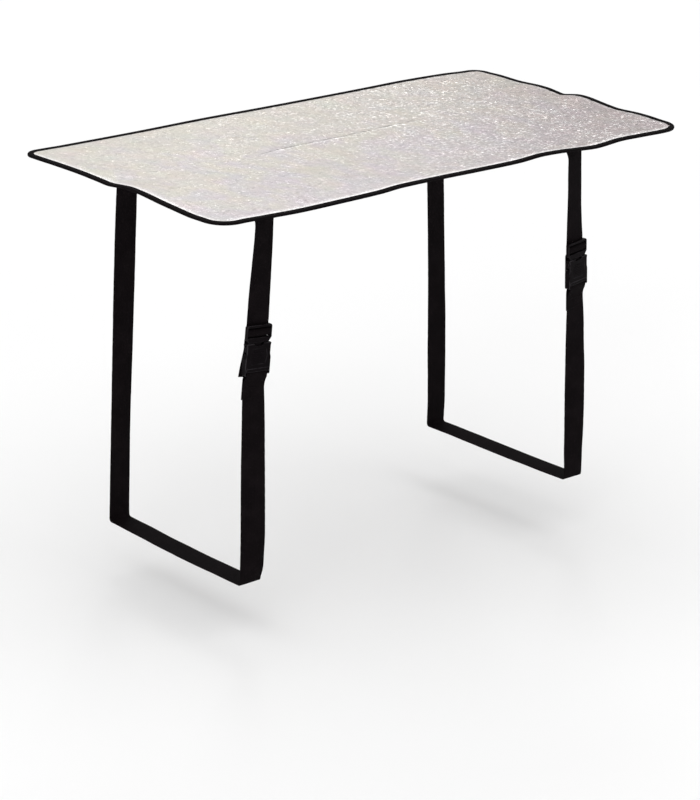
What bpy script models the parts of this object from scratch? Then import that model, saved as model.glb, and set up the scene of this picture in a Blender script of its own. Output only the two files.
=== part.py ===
"""Air conditioner cover: a foil-faced sheet with a bound edge and two buckled webbing straps.

Frame: metres, +X along the cover's length, +Y to the back, +Z up.
The origin is the centre of the sheet's underside, where the cover is held up.
"""
import math

import bmesh
import bpy
from mathutils import Matrix, Vector

# Sheet, from the outer line of its binding
LENGTH = 0.972
DEPTH = 0.487
FRONT_CORNER_RADIUS = 0.040
BACK_CORNER_RADIUS = 0.028
SHEET_THICKNESS = 0.0020
RIM_REACH = 0.078          # how far the waves of the rim run inwards
CORNER_STEPS = 6
SIDE_STEP = 0.024          # longest stretch of rim between two stations
RING_INSETS = (0.000, 0.012, 0.028, 0.050, RIM_REACH)
TAB_LIFT = 0.0006          # the sheet rides up where the straps' tabs are sewn under it
FLAT_INSETS = (0.138, 0.170)   # where it comes down again to its flat middle

# Binding tape, folded over the sheet's edge
TAPE_THICKNESS = 0.0007
TAPE_WIDTH = 0.010
GAP = 0.0003               # between any two pieces that touch

# Rise of the rim along each side: (place along the side, rise)
FRONT_RISE = ((-0.45, -0.0012), (-0.386, -0.0028), (-0.333, -0.0039), (-0.256, -0.0030), (-0.176, -0.0014),
              (-0.136, 0.0011), (-0.056, 0.0015), (0.034, 0.0009), (0.114, 0.0011), (0.159, 0.0037),
              (0.204, 0.0028), (0.249, 0.0000), (0.287, -0.0017), (0.339, 0.0018), (0.384, 0.0014),
              (0.44, 0.0004))
RIGHT_RISE = ((-0.20, 0.0022), (-0.145, 0.0027), (-0.099, 0.0007), (-0.076, 0.0018), (-0.053, 0.0038),
              (-0.030, 0.0057), (-0.006, 0.0053), (0.017, 0.0014), (0.031, -0.0010), (0.046, 0.0002),
              (0.065, 0.0019), (0.089, 0.0021), (0.137, -0.0001), (0.186, 0.0006), (0.21, -0.0006))
BACK_RISE = ((-0.45, -0.0020), (-0.333, -0.0017), (-0.253, -0.0012), (-0.132, 0.0005), (-0.006, 0.0007),
             (0.080, 0.0011), (0.213, 0.0022), (0.304, 0.0034), (0.397, 0.0024), (0.45, 0.0004))
LEFT_RISE = ((-0.20, -0.0036), (-0.167, -0.0031), (-0.121, -0.0007), (-0.097, 0.0007), (-0.073, 0.0026),
             (-0.050, 0.0039), (-0.026, 0.0043), (-0.001, 0.0019), (0.023, -0.0007), (0.047, -0.0001),
             (0.097, 0.0009), (0.148, 0.0004), (0.20, -0.0008))

# Space that the strap loops close round
SPACE_FRONT = -0.1585
SPACE_BACK = 0.1675

# Webbing
WEB_WIDTH = 0.040
WEB_THICKNESS = 0.0015
WEB_IN_SLOT = 0.0382       # the webbing draws in where it turns round a bar
TAB_LENGTH = 0.048         # stretch that is sewn flat under the sheet
BEND_RADIUS = 0.005        # where the webbing turns round the space's edges
FREE_END = 0.034           # below the ladder bars, behind the buckle

# Buckle, in its own axes: X across, Y to the back, Z up, its rear plane at y = 0
BUCKLE_HALF_WIDTH = 0.0230
BUCKLE_TOP = 0.0390
BUCKLE_BOTTOM = -0.0390
SLOT_HALF_WIDTH = 0.0208
UPPER_ZONE = 0.045         # straight stretch of webbing above the buckle's middle
LOWER_ZONE = 0.064         # and below it
UPPER_STAND = 0.0014       # webbing's middle in front of the buckle's rear plane, at its top
LOWER_STAND = 0.0031       # and at its lower bar

# Each strap: its buckle's place, then the run of the webbing's middle above and below it
STRAPS = {
    "left": {
        "buckle": {"x": -0.3490, "z": -0.2316, "stand": 0.0050, "turn": -4.0, "lean": 3.5},
        # rows: height, x, distance in front of the space, turn about Z in degrees
        "above": ((-0.0180, -0.3358, 0.0016, 0.0), (-0.0346, -0.3359, 0.0040, 8.0),
                  (-0.0936, -0.3375, 0.0030, 3.4), (-0.1396, -0.3410, 0.0034, -1.0)),
        "below": ((-0.3436, -0.3504, 0.0062, -9.5), (-0.4406, -0.3489, 0.0070, -16.0),
                  (-0.5356, -0.3471, 0.0078, -18.0), (-0.5880, -0.3460, 0.0056, -12.0)),
        "foot": (-0.3455, -0.6140),
        # rows: y, x of the run under the space
        "under": ((-0.110, -0.3460), (-0.040, -0.3475), (0.050, -0.3470), (0.120, -0.3455)),
        # rows: height, x, distance behind the space, turn about Z in degrees
        "behind": ((-0.560, -0.3450, 0.0024, 1.5), (-0.430, -0.3430, 0.0032, 3.0),
                   (-0.290, -0.3405, 0.0030, -1.5), (-0.150, -0.3380, 0.0026, -2.5),
                   (-0.050, -0.3360, 0.0018, 0.0)),
    },
    "right": {
        "buckle": {"x": 0.3288, "z": -0.2196, "stand": 0.0046, "turn": 5.0, "lean": -4.5},
        "above": ((-0.0180, 0.3140, 0.0018, 2.0), (-0.0300, 0.3149, 0.0056, 12.0),
                  (-0.0700, 0.3180, 0.0058, 13.0), (-0.1116, 0.3211, 0.0056, 12.5),
                  (-0.1480, 0.3236, 0.0056, 9.0)),
        "below": ((-0.3246, 0.3394, 0.0054, -1.0), (-0.3646, 0.3437, 0.0040, -4.2),
                  (-0.4026, 0.3461, 0.0046, -8.0), (-0.4986, 0.3524, 0.0042, -8.0),
                  (-0.5516, 0.3556, 0.0030, -4.0)),
        "foot": (0.3585, -0.6030),
        "under": ((-0.110, 0.3570), (-0.040, 0.3555), (0.050, 0.3545), (0.120, 0.3535)),
        "behind": ((-0.560, 0.3515, 0.0024, -1.0), (-0.430, 0.3460, 0.0034, -3.0),
                   (-0.290, 0.3370, 0.0030, 2.0), (-0.150, 0.3265, 0.0026, 2.0),
                   (-0.050, 0.3185, 0.0018, 0.0)),
    },
}

# Finish: colour, roughness, metallic
FINISHES = {
    "foil_face": ((0.70, 0.68, 0.65), 0.42, 0.75),
    "binding_tape": ((0.012, 0.010, 0.011), 0.80, 0.0),
    "webbing": ((0.011, 0.009, 0.010), 0.85, 0.0),
    "buckle_plastic": ((0.013, 0.012, 0.013), 0.38, 0.0),
}


def clear_scene():
    for thing in list(bpy.data.objects):
        bpy.data.objects.remove(thing, do_unlink=True)


def new_collection(name):
    group = bpy.data.collections.new(name)
    bpy.context.scene.collection.children.link(group)
    return group


def finish_material(name):
    colour, roughness, metallic = FINISHES[name]
    material = bpy.data.materials.new(name)
    material.use_nodes = True
    shader = material.node_tree.nodes["Principled BSDF"]
    shader.inputs["Base Color"].default_value = (*colour, 1.0)
    shader.inputs["Roughness"].default_value = roughness
    shader.inputs["Metallic"].default_value = metallic
    return material


def new_object(name, mesh, group, material=None):
    thing = bpy.data.objects.new(name, mesh)
    group.objects.link(thing)
    if material:
        mesh.materials.append(material)
    return thing


def mesh_from(name, points, faces):
    mesh = bpy.data.meshes.new(name)
    mesh.from_pydata([tuple(p) for p in points], [], faces)
    mesh.update()
    return mesh


def read_table(rows, place):
    """Smooth reading between a table's rows, whose first column is the place."""
    places = [row[0] for row in rows]
    order = 1 if places[-1] > places[0] else -1
    if (place - places[0]) * order <= 0:
        return tuple(rows[0][1:])
    if (place - places[-1]) * order >= 0:
        return tuple(rows[-1][1:])
    k = max(i for i in range(len(rows) - 1) if (place - places[i]) * order >= 0)
    span = places[k + 1] - places[k]
    t = (place - places[k]) / span
    result = []
    for column in range(1, len(rows[0])):
        values = [row[column] for row in rows]
        slopes = []
        for i in (k, k + 1):
            low, high = max(i - 1, 0), min(i + 1, len(rows) - 1)
            slopes.append((values[high] - values[low]) / (places[high] - places[low]) * span)
        a, b = values[k], values[k + 1]
        curve = (2 * t**3 - 3 * t**2 + 1) * a + (t**3 - 2 * t**2 + t) * slopes[0]
        curve += (3 * t**2 - 2 * t**3) * b + (t**3 - t**2) * slopes[1]
        result.append(curve)
    return tuple(result)


# The sheet and its binding

def rim_fall(inset):
    """Share of the rim's rise at a distance inside the outer line, straight between the rings."""
    def smooth(distance):
        t = min(distance / RIM_REACH, 1.0)
        return (1 - t) ** 2 * (1 + 2 * t)
    for near, far in zip(RING_INSETS, RING_INSETS[1:]):
        if inset <= far:
            t = (inset - near) / (far - near)
            return smooth(near) * (1 - t) + smooth(far) * t
    return 0.0


def rim_stations():
    """Stations round the rim, counter-clockwise: side or corner, share along it, and the rise there."""
    sides = (("front", FRONT_RISE, LENGTH, 1), ("right", RIGHT_RISE, DEPTH, 1),
             ("back", BACK_RISE, LENGTH, -1), ("left", LEFT_RISE, DEPTH, -1))
    stations = []
    for index, (side, table, length, way) in enumerate(sides):
        steps = math.ceil((length - 2 * FRONT_CORNER_RADIUS) / SIDE_STEP)
        half = length / 2 - FRONT_CORNER_RADIUS
        for step in range(steps + 1):
            share = step / steps
            place = way * (2 * share - 1) * half
            stations.append((side, share, read_table(table, place)[0]))
        next_table, next_length, next_way = sides[(index + 1) % 4][1:]
        first = stations[-1][2]
        last = read_table(next_table, -next_way * (next_length / 2 - FRONT_CORNER_RADIUS))[0]
        for step in range(1, CORNER_STEPS):
            share = step / CORNER_STEPS
            stations.append((side + "_end", share, first + (last - first) * share))
    return stations


def ring_point(station, inset):
    """Plan point of a station on the rounded rectangle that lies a distance inside the outer line."""
    half_x, half_y = LENGTH / 2 - inset, DEPTH / 2 - inset
    corners = {"front": (half_x, -half_y, FRONT_CORNER_RADIUS, -90),
               "right": (half_x, half_y, BACK_CORNER_RADIUS, 0),
               "back": (-half_x, half_y, BACK_CORNER_RADIUS, 90),
               "left": (-half_x, -half_y, FRONT_CORNER_RADIUS, 180)}

    def on_corner(side, share):
        x, y, radius, start = corners[side]
        radius = max(radius - inset, 0.006)
        angle = math.radians(start + 90 * share)
        centre = Vector((x - math.copysign(radius, x), y - math.copysign(radius, y)))
        return centre + radius * Vector((math.cos(angle), math.sin(angle)))

    name, share, _ = station
    if name.endswith("_end"):
        return on_corner(name[:-4], share)
    before = {"front": "left", "right": "front", "back": "right", "left": "back"}[name]
    return on_corner(before, 1.0).lerp(on_corner(name, 0.0), share)


def surface_point(station, inset, height):
    plan = ring_point(station, inset)
    lift = TAB_LIFT if inset < FLAT_INSETS[1] else 0.0
    return Vector((plan.x, plan.y, height + lift + station[2] * rim_fall(inset)))


def make_sheet(group, material):
    """The sheet: rings for the rim's waves and the tabs' lift, and a flat middle, above and below."""
    stations = rim_stations()
    count = len(stations)
    insets = [TAPE_THICKNESS + GAP, *RING_INSETS[1:], *FLAT_INSETS]
    points, faces = [], []
    for height in (0.0, SHEET_THICKNESS):
        for inset in insets:
            points += [surface_point(station, inset, height) for station in stations]
    top = len(insets) * count
    for ring in range(len(insets) - 1):
        for k in range(count):
            a, b = ring * count + k, ring * count + (k + 1) % count
            faces.append((a, a + count, b + count, b))
            faces.append((top + a, top + b, top + b + count, top + a + count))
    last = (len(insets) - 1) * count
    faces.append(tuple(last + k for k in reversed(range(count))))
    faces.append(tuple(top + last + k for k in range(count)))
    for k in range(count):
        faces.append((k, (k + 1) % count, top + (k + 1) % count, top + k))
    return new_object("cover_panel", mesh_from("cover_panel", points, faces), group, material)


def make_binding(group, material):
    """The tape's folded section, carried round the rim as one ring."""
    outer = GAP + TAPE_THICKNESS
    low, high = -outer, SHEET_THICKNESS + outer
    section = ((TAPE_WIDTH, high), (outer, high), (0.0003, high - 0.0006), (0.0, SHEET_THICKNESS / 2),
               (0.0003, low + 0.0006), (outer, low), (TAPE_WIDTH, low), (TAPE_WIDTH, -GAP),
               (TAPE_THICKNESS, -GAP), (TAPE_THICKNESS, SHEET_THICKNESS + GAP),
               (TAPE_WIDTH, SHEET_THICKNESS + GAP))
    stations = rim_stations()
    points = [surface_point(station, inset, height) for station in stations for inset, height in section]
    size, count = len(section), len(stations)
    faces = []
    for k in range(count):
        for j in range(size):
            a, b = k * size, ((k + 1) % count) * size
            faces.append((a + j, a + (j + 1) % size, b + (j + 1) % size, b + j))
    return new_object("edge_binding", mesh_from("edge_binding", points, faces), group, material)


# Straps

def buckle_frame(strap):
    """Axes and place of the buckle: across, to the back and up, its rear plane through the origin."""
    seat = strap["buckle"]
    turn = Matrix.Rotation(math.radians(seat["turn"]), 4, "Z")
    lean = Matrix.Rotation(math.radians(seat["lean"]), 4, "Y")
    return Matrix.Translation((seat["x"], SPACE_FRONT - seat["stand"], seat["z"])) @ turn @ lean


def fall_section(row):
    """Middle and across direction of the webbing in front, from a row of a strap's table."""
    height, x, stand, turn = row
    across = Vector((math.cos(math.radians(turn)), math.sin(math.radians(turn)), 0.0))
    return Vector((x, SPACE_FRONT - stand, height)), across


def rows_between(table, step):
    """Rows of a table read at even heights, from its first row to its last."""
    first, last = table[0][0], table[-1][0]
    count = max(1, round(abs(last - first) / step))
    heights = [first + (last - first) * k / count for k in range(count + 1)]
    return [(height, *read_table(table, height)) for height in heights]


def buckle_row(strap, up, stand):
    """A table row for the webbing where it enters or leaves the buckle's straight stretch."""
    place = buckle_frame(strap) @ Vector((0.0, -stand, up))
    return (place.z, place.x, SPACE_FRONT - place.y, strap["buckle"]["turn"])


def in_buckle(strap, out, up):
    """Middle and across direction of the webbing at a place given in the buckle's own axes."""
    frame = buckle_frame(strap)
    across = (frame.to_3x3() @ Vector((1.0, 0.0, 0.0))).normalized()
    return frame @ Vector((0.0, -out, up)), across


def quarter_bend(x, centre, start, steps=4):
    """Middles of a quarter turn in the plane of Y and Z, from a start angle in degrees."""
    sections = []
    for k in range(1, steps):
        angle = math.radians(start + 90 * k / steps)
        y = centre[0] + BEND_RADIUS * math.cos(angle)
        z = centre[1] + BEND_RADIUS * math.sin(angle)
        sections.append((Vector((x, y, z)), Vector((1.0, 0.0, 0.0))))
    return sections


def ribbon(name, sections, widths, group, material):
    """Webbing swept along its middles; each has an across direction, and the thickness is square to both."""
    half = WEB_THICKNESS / 2
    points, faces = [], []
    for k, (middle, across) in enumerate(sections):
        before = sections[max(k - 1, 0)][0]
        after = sections[min(k + 1, len(sections) - 1)][0]
        incoming = (middle - before).normalized() if k else (after - middle).normalized()
        outgoing = (after - middle).normalized() if k < len(sections) - 1 else incoming
        along = (incoming + outgoing).normalized()
        out = along.cross(across).normalized()
        square = across - along * across.dot(along)
        square.normalize()
        fill = half / max(incoming.dot(along), 0.75)
        side = square * widths[k] / 2
        points += [middle - side - out * fill, middle + side - out * fill,
                   middle + side + out * fill, middle - side + out * fill]
    for k in range(len(sections) - 1):
        a, b = 4 * k, 4 * k + 4
        for j in range(4):
            faces.append((a + j, a + (j + 1) % 4, b + (j + 1) % 4, b + j))
    last = 4 * (len(sections) - 1)
    faces.append((3, 2, 1, 0))
    faces.append((last, last + 1, last + 2, last + 3))
    thing = new_object(name, mesh_from(name, points, faces), group, material)
    tidy = bmesh.new()
    tidy.from_mesh(thing.data)
    bmesh.ops.recalc_face_normals(tidy, faces=tidy.faces)
    tidy.to_mesh(thing.data)
    tidy.free()
    return thing


# Route of the webbing through the ladder bars: distance in front of the rear plane, height
LADDER_ROUTE = ((0.0014, 0.0400), (0.0014, 0.0366), (0.0017, 0.0346), (0.0034, 0.0328), (0.0061, 0.0316),
                (0.0079, 0.0304), (0.0082, 0.0275), (0.0079, 0.0246), (0.0061, 0.0234), (0.0032, 0.0222),
                (0.0010, 0.0204), (-0.0007, 0.0172), (-0.0012, 0.0130), (-0.0012, 0.0000))
# Route from the sewn short end, round the lower bar and down
LOOP_ROUTE = ((0.0011, -0.0780), (0.0011, -0.0520), (0.0015, -0.0440), (0.0021, -0.0390), (0.0023, -0.0358),
              (0.0032, -0.0335), (0.0057, -0.0326), (0.0083, -0.0335), (0.0092, -0.0358), (0.0090, -0.0390),
              (0.0072, -0.0440), (0.0046, -0.0500), (0.0032, -0.0560), (0.0031, -LOWER_ZONE))


def make_upper_webbing(side, strap, group, material):
    """Tab under the sheet, fall to the buckle, turn through the ladder bars, and free end behind it."""
    tab_height = TAB_LIFT - GAP - WEB_THICKNESS / 2
    top_row = strap["above"][0]
    x, stand = top_row[1], top_row[2]
    fall_y = SPACE_FRONT - stand
    across = Vector((1.0, 0.0, 0.0))
    tab_end = fall_y + BEND_RADIUS + TAB_LENGTH
    sections = [(Vector((x, y, tab_height)), across) for y in (tab_end, tab_end - TAB_LENGTH / 2)]
    sections.append((Vector((x, fall_y + BEND_RADIUS, tab_height)), across))
    sections += quarter_bend(x, (fall_y + BEND_RADIUS, tab_height - BEND_RADIUS), 90)
    table = (*strap["above"], buckle_row(strap, UPPER_ZONE, UPPER_STAND))
    sections += [fall_section(row) for row in rows_between(table, 0.018)]
    wide = len(sections)
    sections += [in_buckle(strap, out, up) for out, up in LADDER_ROUTE]
    sections.append(in_buckle(strap, -0.0013, -FREE_END / 2))
    sections.append(in_buckle(strap, -0.0014, -FREE_END))
    widths = [WEB_WIDTH] * wide
    for out, up in LADDER_ROUTE:
        widths.append(WEB_IN_SLOT if 0.0204 <= up <= 0.0366 else (WEB_WIDTH + WEB_IN_SLOT) / 2)
    widths += [WEB_WIDTH] * 2
    return ribbon(side + "_strap_upper", sections, widths, group, material)


def make_lower_webbing(side, strap, group, material):
    """Sewn loop round the lower bar, fall in front, run under, rise behind, and tab under the sheet."""
    tab_height = TAB_LIFT - GAP - WEB_THICKNESS / 2
    across = Vector((1.0, 0.0, 0.0))
    sections = [in_buckle(strap, out, up) for out, up in LOOP_ROUTE]
    widths = [WEB_WIDTH] * 3 + [WEB_IN_SLOT] * 7 + [WEB_WIDTH] * 4
    table = (buckle_row(strap, -LOWER_ZONE, LOWER_STAND), *strap["below"])
    sections += [fall_section(row) for row in rows_between(table, 0.022)[1:]]

    foot_x, floor = strap["foot"]
    front_y = SPACE_FRONT - 0.0030
    sections.append((Vector((foot_x, front_y, floor + BEND_RADIUS)), across))
    sections += quarter_bend(foot_x, (front_y + BEND_RADIUS, floor + BEND_RADIUS), 180)
    sections.append((Vector((foot_x, front_y + BEND_RADIUS, floor)), across))
    sections += [(Vector((x, y, floor - 0.0008 * math.cos(y / 0.16 * math.pi / 2))), across)
                 for y, x in strap["under"]]
    behind = strap["behind"]
    back_y = SPACE_BACK + behind[0][2]
    back_x = behind[0][1]
    sections.append((Vector((back_x, back_y - BEND_RADIUS, floor)), across))
    sections += quarter_bend(back_x, (back_y - BEND_RADIUS, floor + BEND_RADIUS), 270)
    sections.append((Vector((back_x, back_y, floor + BEND_RADIUS)), across))
    for height, x, stand, turn in rows_between(behind, 0.030):
        turned = Vector((math.cos(math.radians(turn)), math.sin(math.radians(turn)), 0.0))
        sections.append((Vector((x, SPACE_BACK + stand, height)), turned))
    x, stand = behind[-1][1], behind[-1][2]
    rise_y = SPACE_BACK + stand
    sections.append((Vector((x, rise_y, tab_height - BEND_RADIUS)), across))
    sections += quarter_bend(x, (rise_y - BEND_RADIUS, tab_height - BEND_RADIUS), 0)
    for part in (0.0, 0.5, 1.0):
        sections.append((Vector((x, rise_y - BEND_RADIUS - TAB_LENGTH * part, tab_height)), across))
    widths += [WEB_WIDTH] * (len(sections) - len(widths))
    return ribbon(side + "_strap_lower", sections, widths, group, material)


# Buckles, built in millimetres of their own axes and scaled in the mesh

def slab(name, outline, front, back, group, bevel=0.0):
    """A flat outline (x, z) filled and given its thickness from front to back, its long edges rounded."""
    curve = bpy.data.curves.new(name, "CURVE")
    curve.dimensions = "2D"
    curve.fill_mode = "BOTH"
    curve.extrude = (back - front) / 2 / 1000
    spline = curve.splines.new("POLY")
    spline.points.add(len(outline) - 1)
    for point, (x, z) in zip(spline.points, outline):
        point.co = (x / 1000, z / 1000, 0.0, 1.0)
    spline.use_cyclic_u = True
    flat = bpy.data.objects.new(name, curve)
    group.objects.link(flat)
    bpy.context.view_layer.update()
    mesh = bpy.data.meshes.new_from_object(flat.evaluated_get(bpy.context.evaluated_depsgraph_get()))
    bpy.data.objects.remove(flat, do_unlink=True)
    bpy.data.curves.remove(curve)
    tidy = bmesh.new()
    tidy.from_mesh(mesh)
    bmesh.ops.remove_doubles(tidy, verts=tidy.verts, dist=0.00001)
    upright = Matrix.Translation((0.0, (front + back) / 2 / 1000, 0.0)) @ Matrix.Rotation(math.pi / 2, 4, "X")
    bmesh.ops.transform(tidy, matrix=upright, verts=tidy.verts)
    bmesh.ops.recalc_face_normals(tidy, faces=tidy.faces)
    tidy.to_mesh(mesh)
    tidy.free()
    thing = new_object(name, mesh, group)
    if bevel:
        rounding = thing.modifiers.new("Rounded edges", "BEVEL")
        rounding.width = bevel / 1000
        rounding.segments = 1
        rounding.limit_method = "ANGLE"
        rounding.angle_limit = math.radians(50)
    return thing


def block(name, low, high, group):
    """A box between two corners, in millimetres."""
    mesh = bpy.data.meshes.new(name)
    shape = bmesh.new()
    bmesh.ops.create_cube(shape, size=1.0)
    size = [(b - a) / 1000 for a, b in zip(low, high)]
    middle = [(a + b) / 2000 for a, b in zip(low, high)]
    bmesh.ops.scale(shape, vec=size, verts=shape.verts)
    bmesh.ops.translate(shape, vec=middle, verts=shape.verts)
    shape.to_mesh(mesh)
    shape.free()
    return new_object(name, mesh, group)


def join_or_cut(thing, tool, operation, tools):
    """One exact Boolean step; the tool stays hidden among the cutters."""
    for group in list(tool.users_collection):
        group.objects.unlink(tool)
    tools.objects.link(tool)
    tool.hide_render = True
    tool.display_type = "WIRE"
    step = thing.modifiers.new(tool.name, "BOOLEAN")
    step.operation = operation
    step.solver = "EXACT"
    step.object = tool


def mirrored(points):
    """An outline from its right half, listed from the bottom up."""
    return [*points, *((-x, z) for x, z in reversed(points))]


def bake(thing):
    """The object's mesh with its modifiers applied, so that both buckles can share it."""
    bpy.context.view_layer.update()
    mesh = bpy.data.meshes.new_from_object(thing.evaluated_get(bpy.context.evaluated_depsgraph_get()))
    mesh.shade_smooth()
    mesh.set_sharp_from_angle(angle=math.radians(35))
    bpy.data.objects.remove(thing, do_unlink=True)
    return mesh


SLOT = SLOT_HALF_WIDTH * 1000
HALF = BUCKLE_HALF_WIDTH * 1000
TOP = BUCKLE_TOP * 1000
BOTTOM = BUCKLE_BOTTOM * 1000
FRONT = -10.6              # front plane of the socket half; the rear plane is at 0
MOUTH = 11.0               # top of the socket half
LADDER_FOOT = 12.0         # bottom of the ladder frame
CAVITY = 19.9              # half width of the hollow that the prongs slide into


def prong_mesh(group, tools):
    """Ladder frame with two bars, a guide tongue and two sprung prongs."""
    frame = slab("ladder_frame", mirrored(((17.8, LADDER_FOOT), (20.4, 15.0), (HALF, 18.5), (HALF, 36.8),
                                           (HALF - 2.2, TOP))), -8.7, -2.5, group, 0.7)
    tines = slab("tines", mirrored(((4.0, -14.0), (5.0, 11.0), (12.5, 11.0), (15.4, 6.0), (15.4, -6.6),
                                    (18.4, -6.6), (22.4, -0.4), (22.4, 6.2), (18.8, 8.4), (17.4, 15.0))),
                 -7.8, -3.1, group, 0.4)
    join_or_cut(frame, tines, "UNION", tools)
    for name, low, high in (("upper_slot", 29.5, 35.6), ("lower_slot", 19.5, 25.5)):
        join_or_cut(frame, block(name, (-SLOT, -12.0, low), (SLOT, 1.0, high), group), "DIFFERENCE", tools)
    over_bar = block("over_bar", (-SLOT, -12.0, 24.0), (SLOT, -6.8, 31.0), group)
    under_bar = block("under_bar", (-SLOT, -3.5, 24.0), (SLOT, 1.0, 31.0), group)
    join_or_cut(frame, over_bar, "DIFFERENCE", tools)
    join_or_cut(frame, under_bar, "DIFFERENCE", tools)
    return bake(frame)


def socket_mesh(group, tools):
    """Hollow body with its mouth, two side windows, and the lower bar that the webbing is sewn round."""
    body = slab("socket_body", mirrored(((HALF - 1.6, BOTTOM), (HALF, BOTTOM + 1.6), (HALF, -12.0),
                                         (21.7, -7.0), (21.7, 6.0), (22.7, MOUTH))), FRONT, 0.0, group, 1.3)
    cuts = (("cavity", (-CAVITY, -8.3, -17.0), (CAVITY, -2.6, 14.0)),
            ("windows", (-26.0, -8.3, -5.0), (26.0, -2.6, 8.2)),
            ("loop_slot", (-SLOT, -14.0, -35.2), (SLOT, 2.0, -29.5)),
            ("loop_front", (-SLOT, -14.0, -42.0), (SLOT, -7.8, -33.0)),
            ("loop_back", (-SLOT, -3.7, -42.0), (SLOT, 2.0, -33.0)))
    for name, low, high in cuts:
        join_or_cut(body, block(name, low, high, group), "DIFFERENCE", tools)
    return bake(body)


def make_buckle(side, strap, prongs, socket, group):
    seat = bpy.data.objects.new(side + "_buckle_seat", None)
    group.objects.link(seat)
    seat.matrix_world = buckle_frame(strap)
    for name, mesh in ((side + "_buckle_prongs", prongs), (side + "_buckle_socket", socket)):
        thing = bpy.data.objects.new(name, mesh)
        group.objects.link(thing)
        thing.parent = seat


def main():
    clear_scene()
    cover = new_collection("Air conditioner cover")
    cutters = new_collection("Cutters")
    materials = {name: finish_material(name) for name in FINISHES}
    make_sheet(cover, materials["foil_face"])
    make_binding(cover, materials["binding_tape"])
    prongs = prong_mesh(cover, cutters)
    socket = socket_mesh(cover, cutters)
    for mesh in (prongs, socket):
        mesh.materials.clear()
        mesh.materials.append(materials["buckle_plastic"])
    for side, strap in STRAPS.items():
        make_upper_webbing(side, strap, cover, materials["webbing"])
        make_lower_webbing(side, strap, cover, materials["webbing"])
        make_buckle(side, strap, prongs, socket, cover)


main()
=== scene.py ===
"""Air conditioner cover, dressed: glittering foil sheet, bound edge, woven straps and moulded buckles.

Metres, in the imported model's frame: +X along the cover's length, +Y to the back, +Z up, with the
origin in the middle of the sheet's underside. The shapes repeat the model's own tables.
"""
import math

import bmesh
import bpy
from mathutils import Matrix, Vector, noise


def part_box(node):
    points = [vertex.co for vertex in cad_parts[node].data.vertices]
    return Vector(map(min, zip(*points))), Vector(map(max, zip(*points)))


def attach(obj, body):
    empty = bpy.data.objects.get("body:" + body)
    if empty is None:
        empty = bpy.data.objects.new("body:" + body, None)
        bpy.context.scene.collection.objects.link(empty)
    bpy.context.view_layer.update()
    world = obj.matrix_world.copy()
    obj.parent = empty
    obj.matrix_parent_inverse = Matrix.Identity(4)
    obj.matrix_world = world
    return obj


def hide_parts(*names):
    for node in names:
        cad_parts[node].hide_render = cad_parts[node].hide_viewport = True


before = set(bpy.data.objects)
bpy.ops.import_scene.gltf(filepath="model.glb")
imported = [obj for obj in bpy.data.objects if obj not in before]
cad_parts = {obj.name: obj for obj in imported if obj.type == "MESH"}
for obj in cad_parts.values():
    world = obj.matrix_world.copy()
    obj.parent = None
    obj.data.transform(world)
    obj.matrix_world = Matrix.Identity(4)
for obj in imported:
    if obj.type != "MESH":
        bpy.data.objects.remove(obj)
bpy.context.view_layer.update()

BODY = "root"

# Sheet and tape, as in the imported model
TAPE_LOW, TAPE_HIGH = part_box("edge_binding")
LENGTH = TAPE_HIGH.x - TAPE_LOW.x
DEPTH = TAPE_HIGH.y - TAPE_LOW.y
FRONT_CORNER_RADIUS = 0.040
BACK_CORNER_RADIUS = 0.028
SHEET_THICKNESS = 0.0020
RIM_REACH = 0.078
TAB_LIFT = 0.0006
FLAT_INSETS = (0.138, 0.170)
TAPE_THICKNESS = 0.0007
TAPE_WIDTH = 0.010
GAP = 0.0003

# Rise of the rim along each side: (place along the side, rise)
FRONT_RISE = ((-0.45, -0.0012), (-0.386, -0.0028), (-0.333, -0.0039), (-0.256, -0.0030), (-0.176, -0.0014),
              (-0.136, 0.0011), (-0.056, 0.0015), (0.034, 0.0009), (0.114, 0.0011), (0.159, 0.0037),
              (0.204, 0.0028), (0.249, 0.0000), (0.287, -0.0017), (0.339, 0.0018), (0.384, 0.0014),
              (0.44, 0.0004))
RIGHT_RISE = ((-0.20, 0.0022), (-0.145, 0.0027), (-0.099, 0.0007), (-0.076, 0.0018), (-0.053, 0.0038),
              (-0.030, 0.0057), (-0.006, 0.0053), (0.017, 0.0014), (0.031, -0.0010), (0.046, 0.0002),
              (0.065, 0.0019), (0.089, 0.0021), (0.137, -0.0001), (0.186, 0.0006), (0.21, -0.0006))
BACK_RISE = ((-0.45, -0.0020), (-0.333, -0.0017), (-0.253, -0.0012), (-0.132, 0.0005), (-0.006, 0.0007),
             (0.080, 0.0011), (0.213, 0.0022), (0.304, 0.0034), (0.397, 0.0024), (0.45, 0.0004))
LEFT_RISE = ((-0.20, -0.0036), (-0.167, -0.0031), (-0.121, -0.0007), (-0.097, 0.0007), (-0.073, 0.0026),
             (-0.050, 0.0039), (-0.026, 0.0043), (-0.001, 0.0019), (0.023, -0.0007), (0.047, -0.0001),
             (0.097, 0.0009), (0.148, 0.0004), (0.20, -0.0008))

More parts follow.
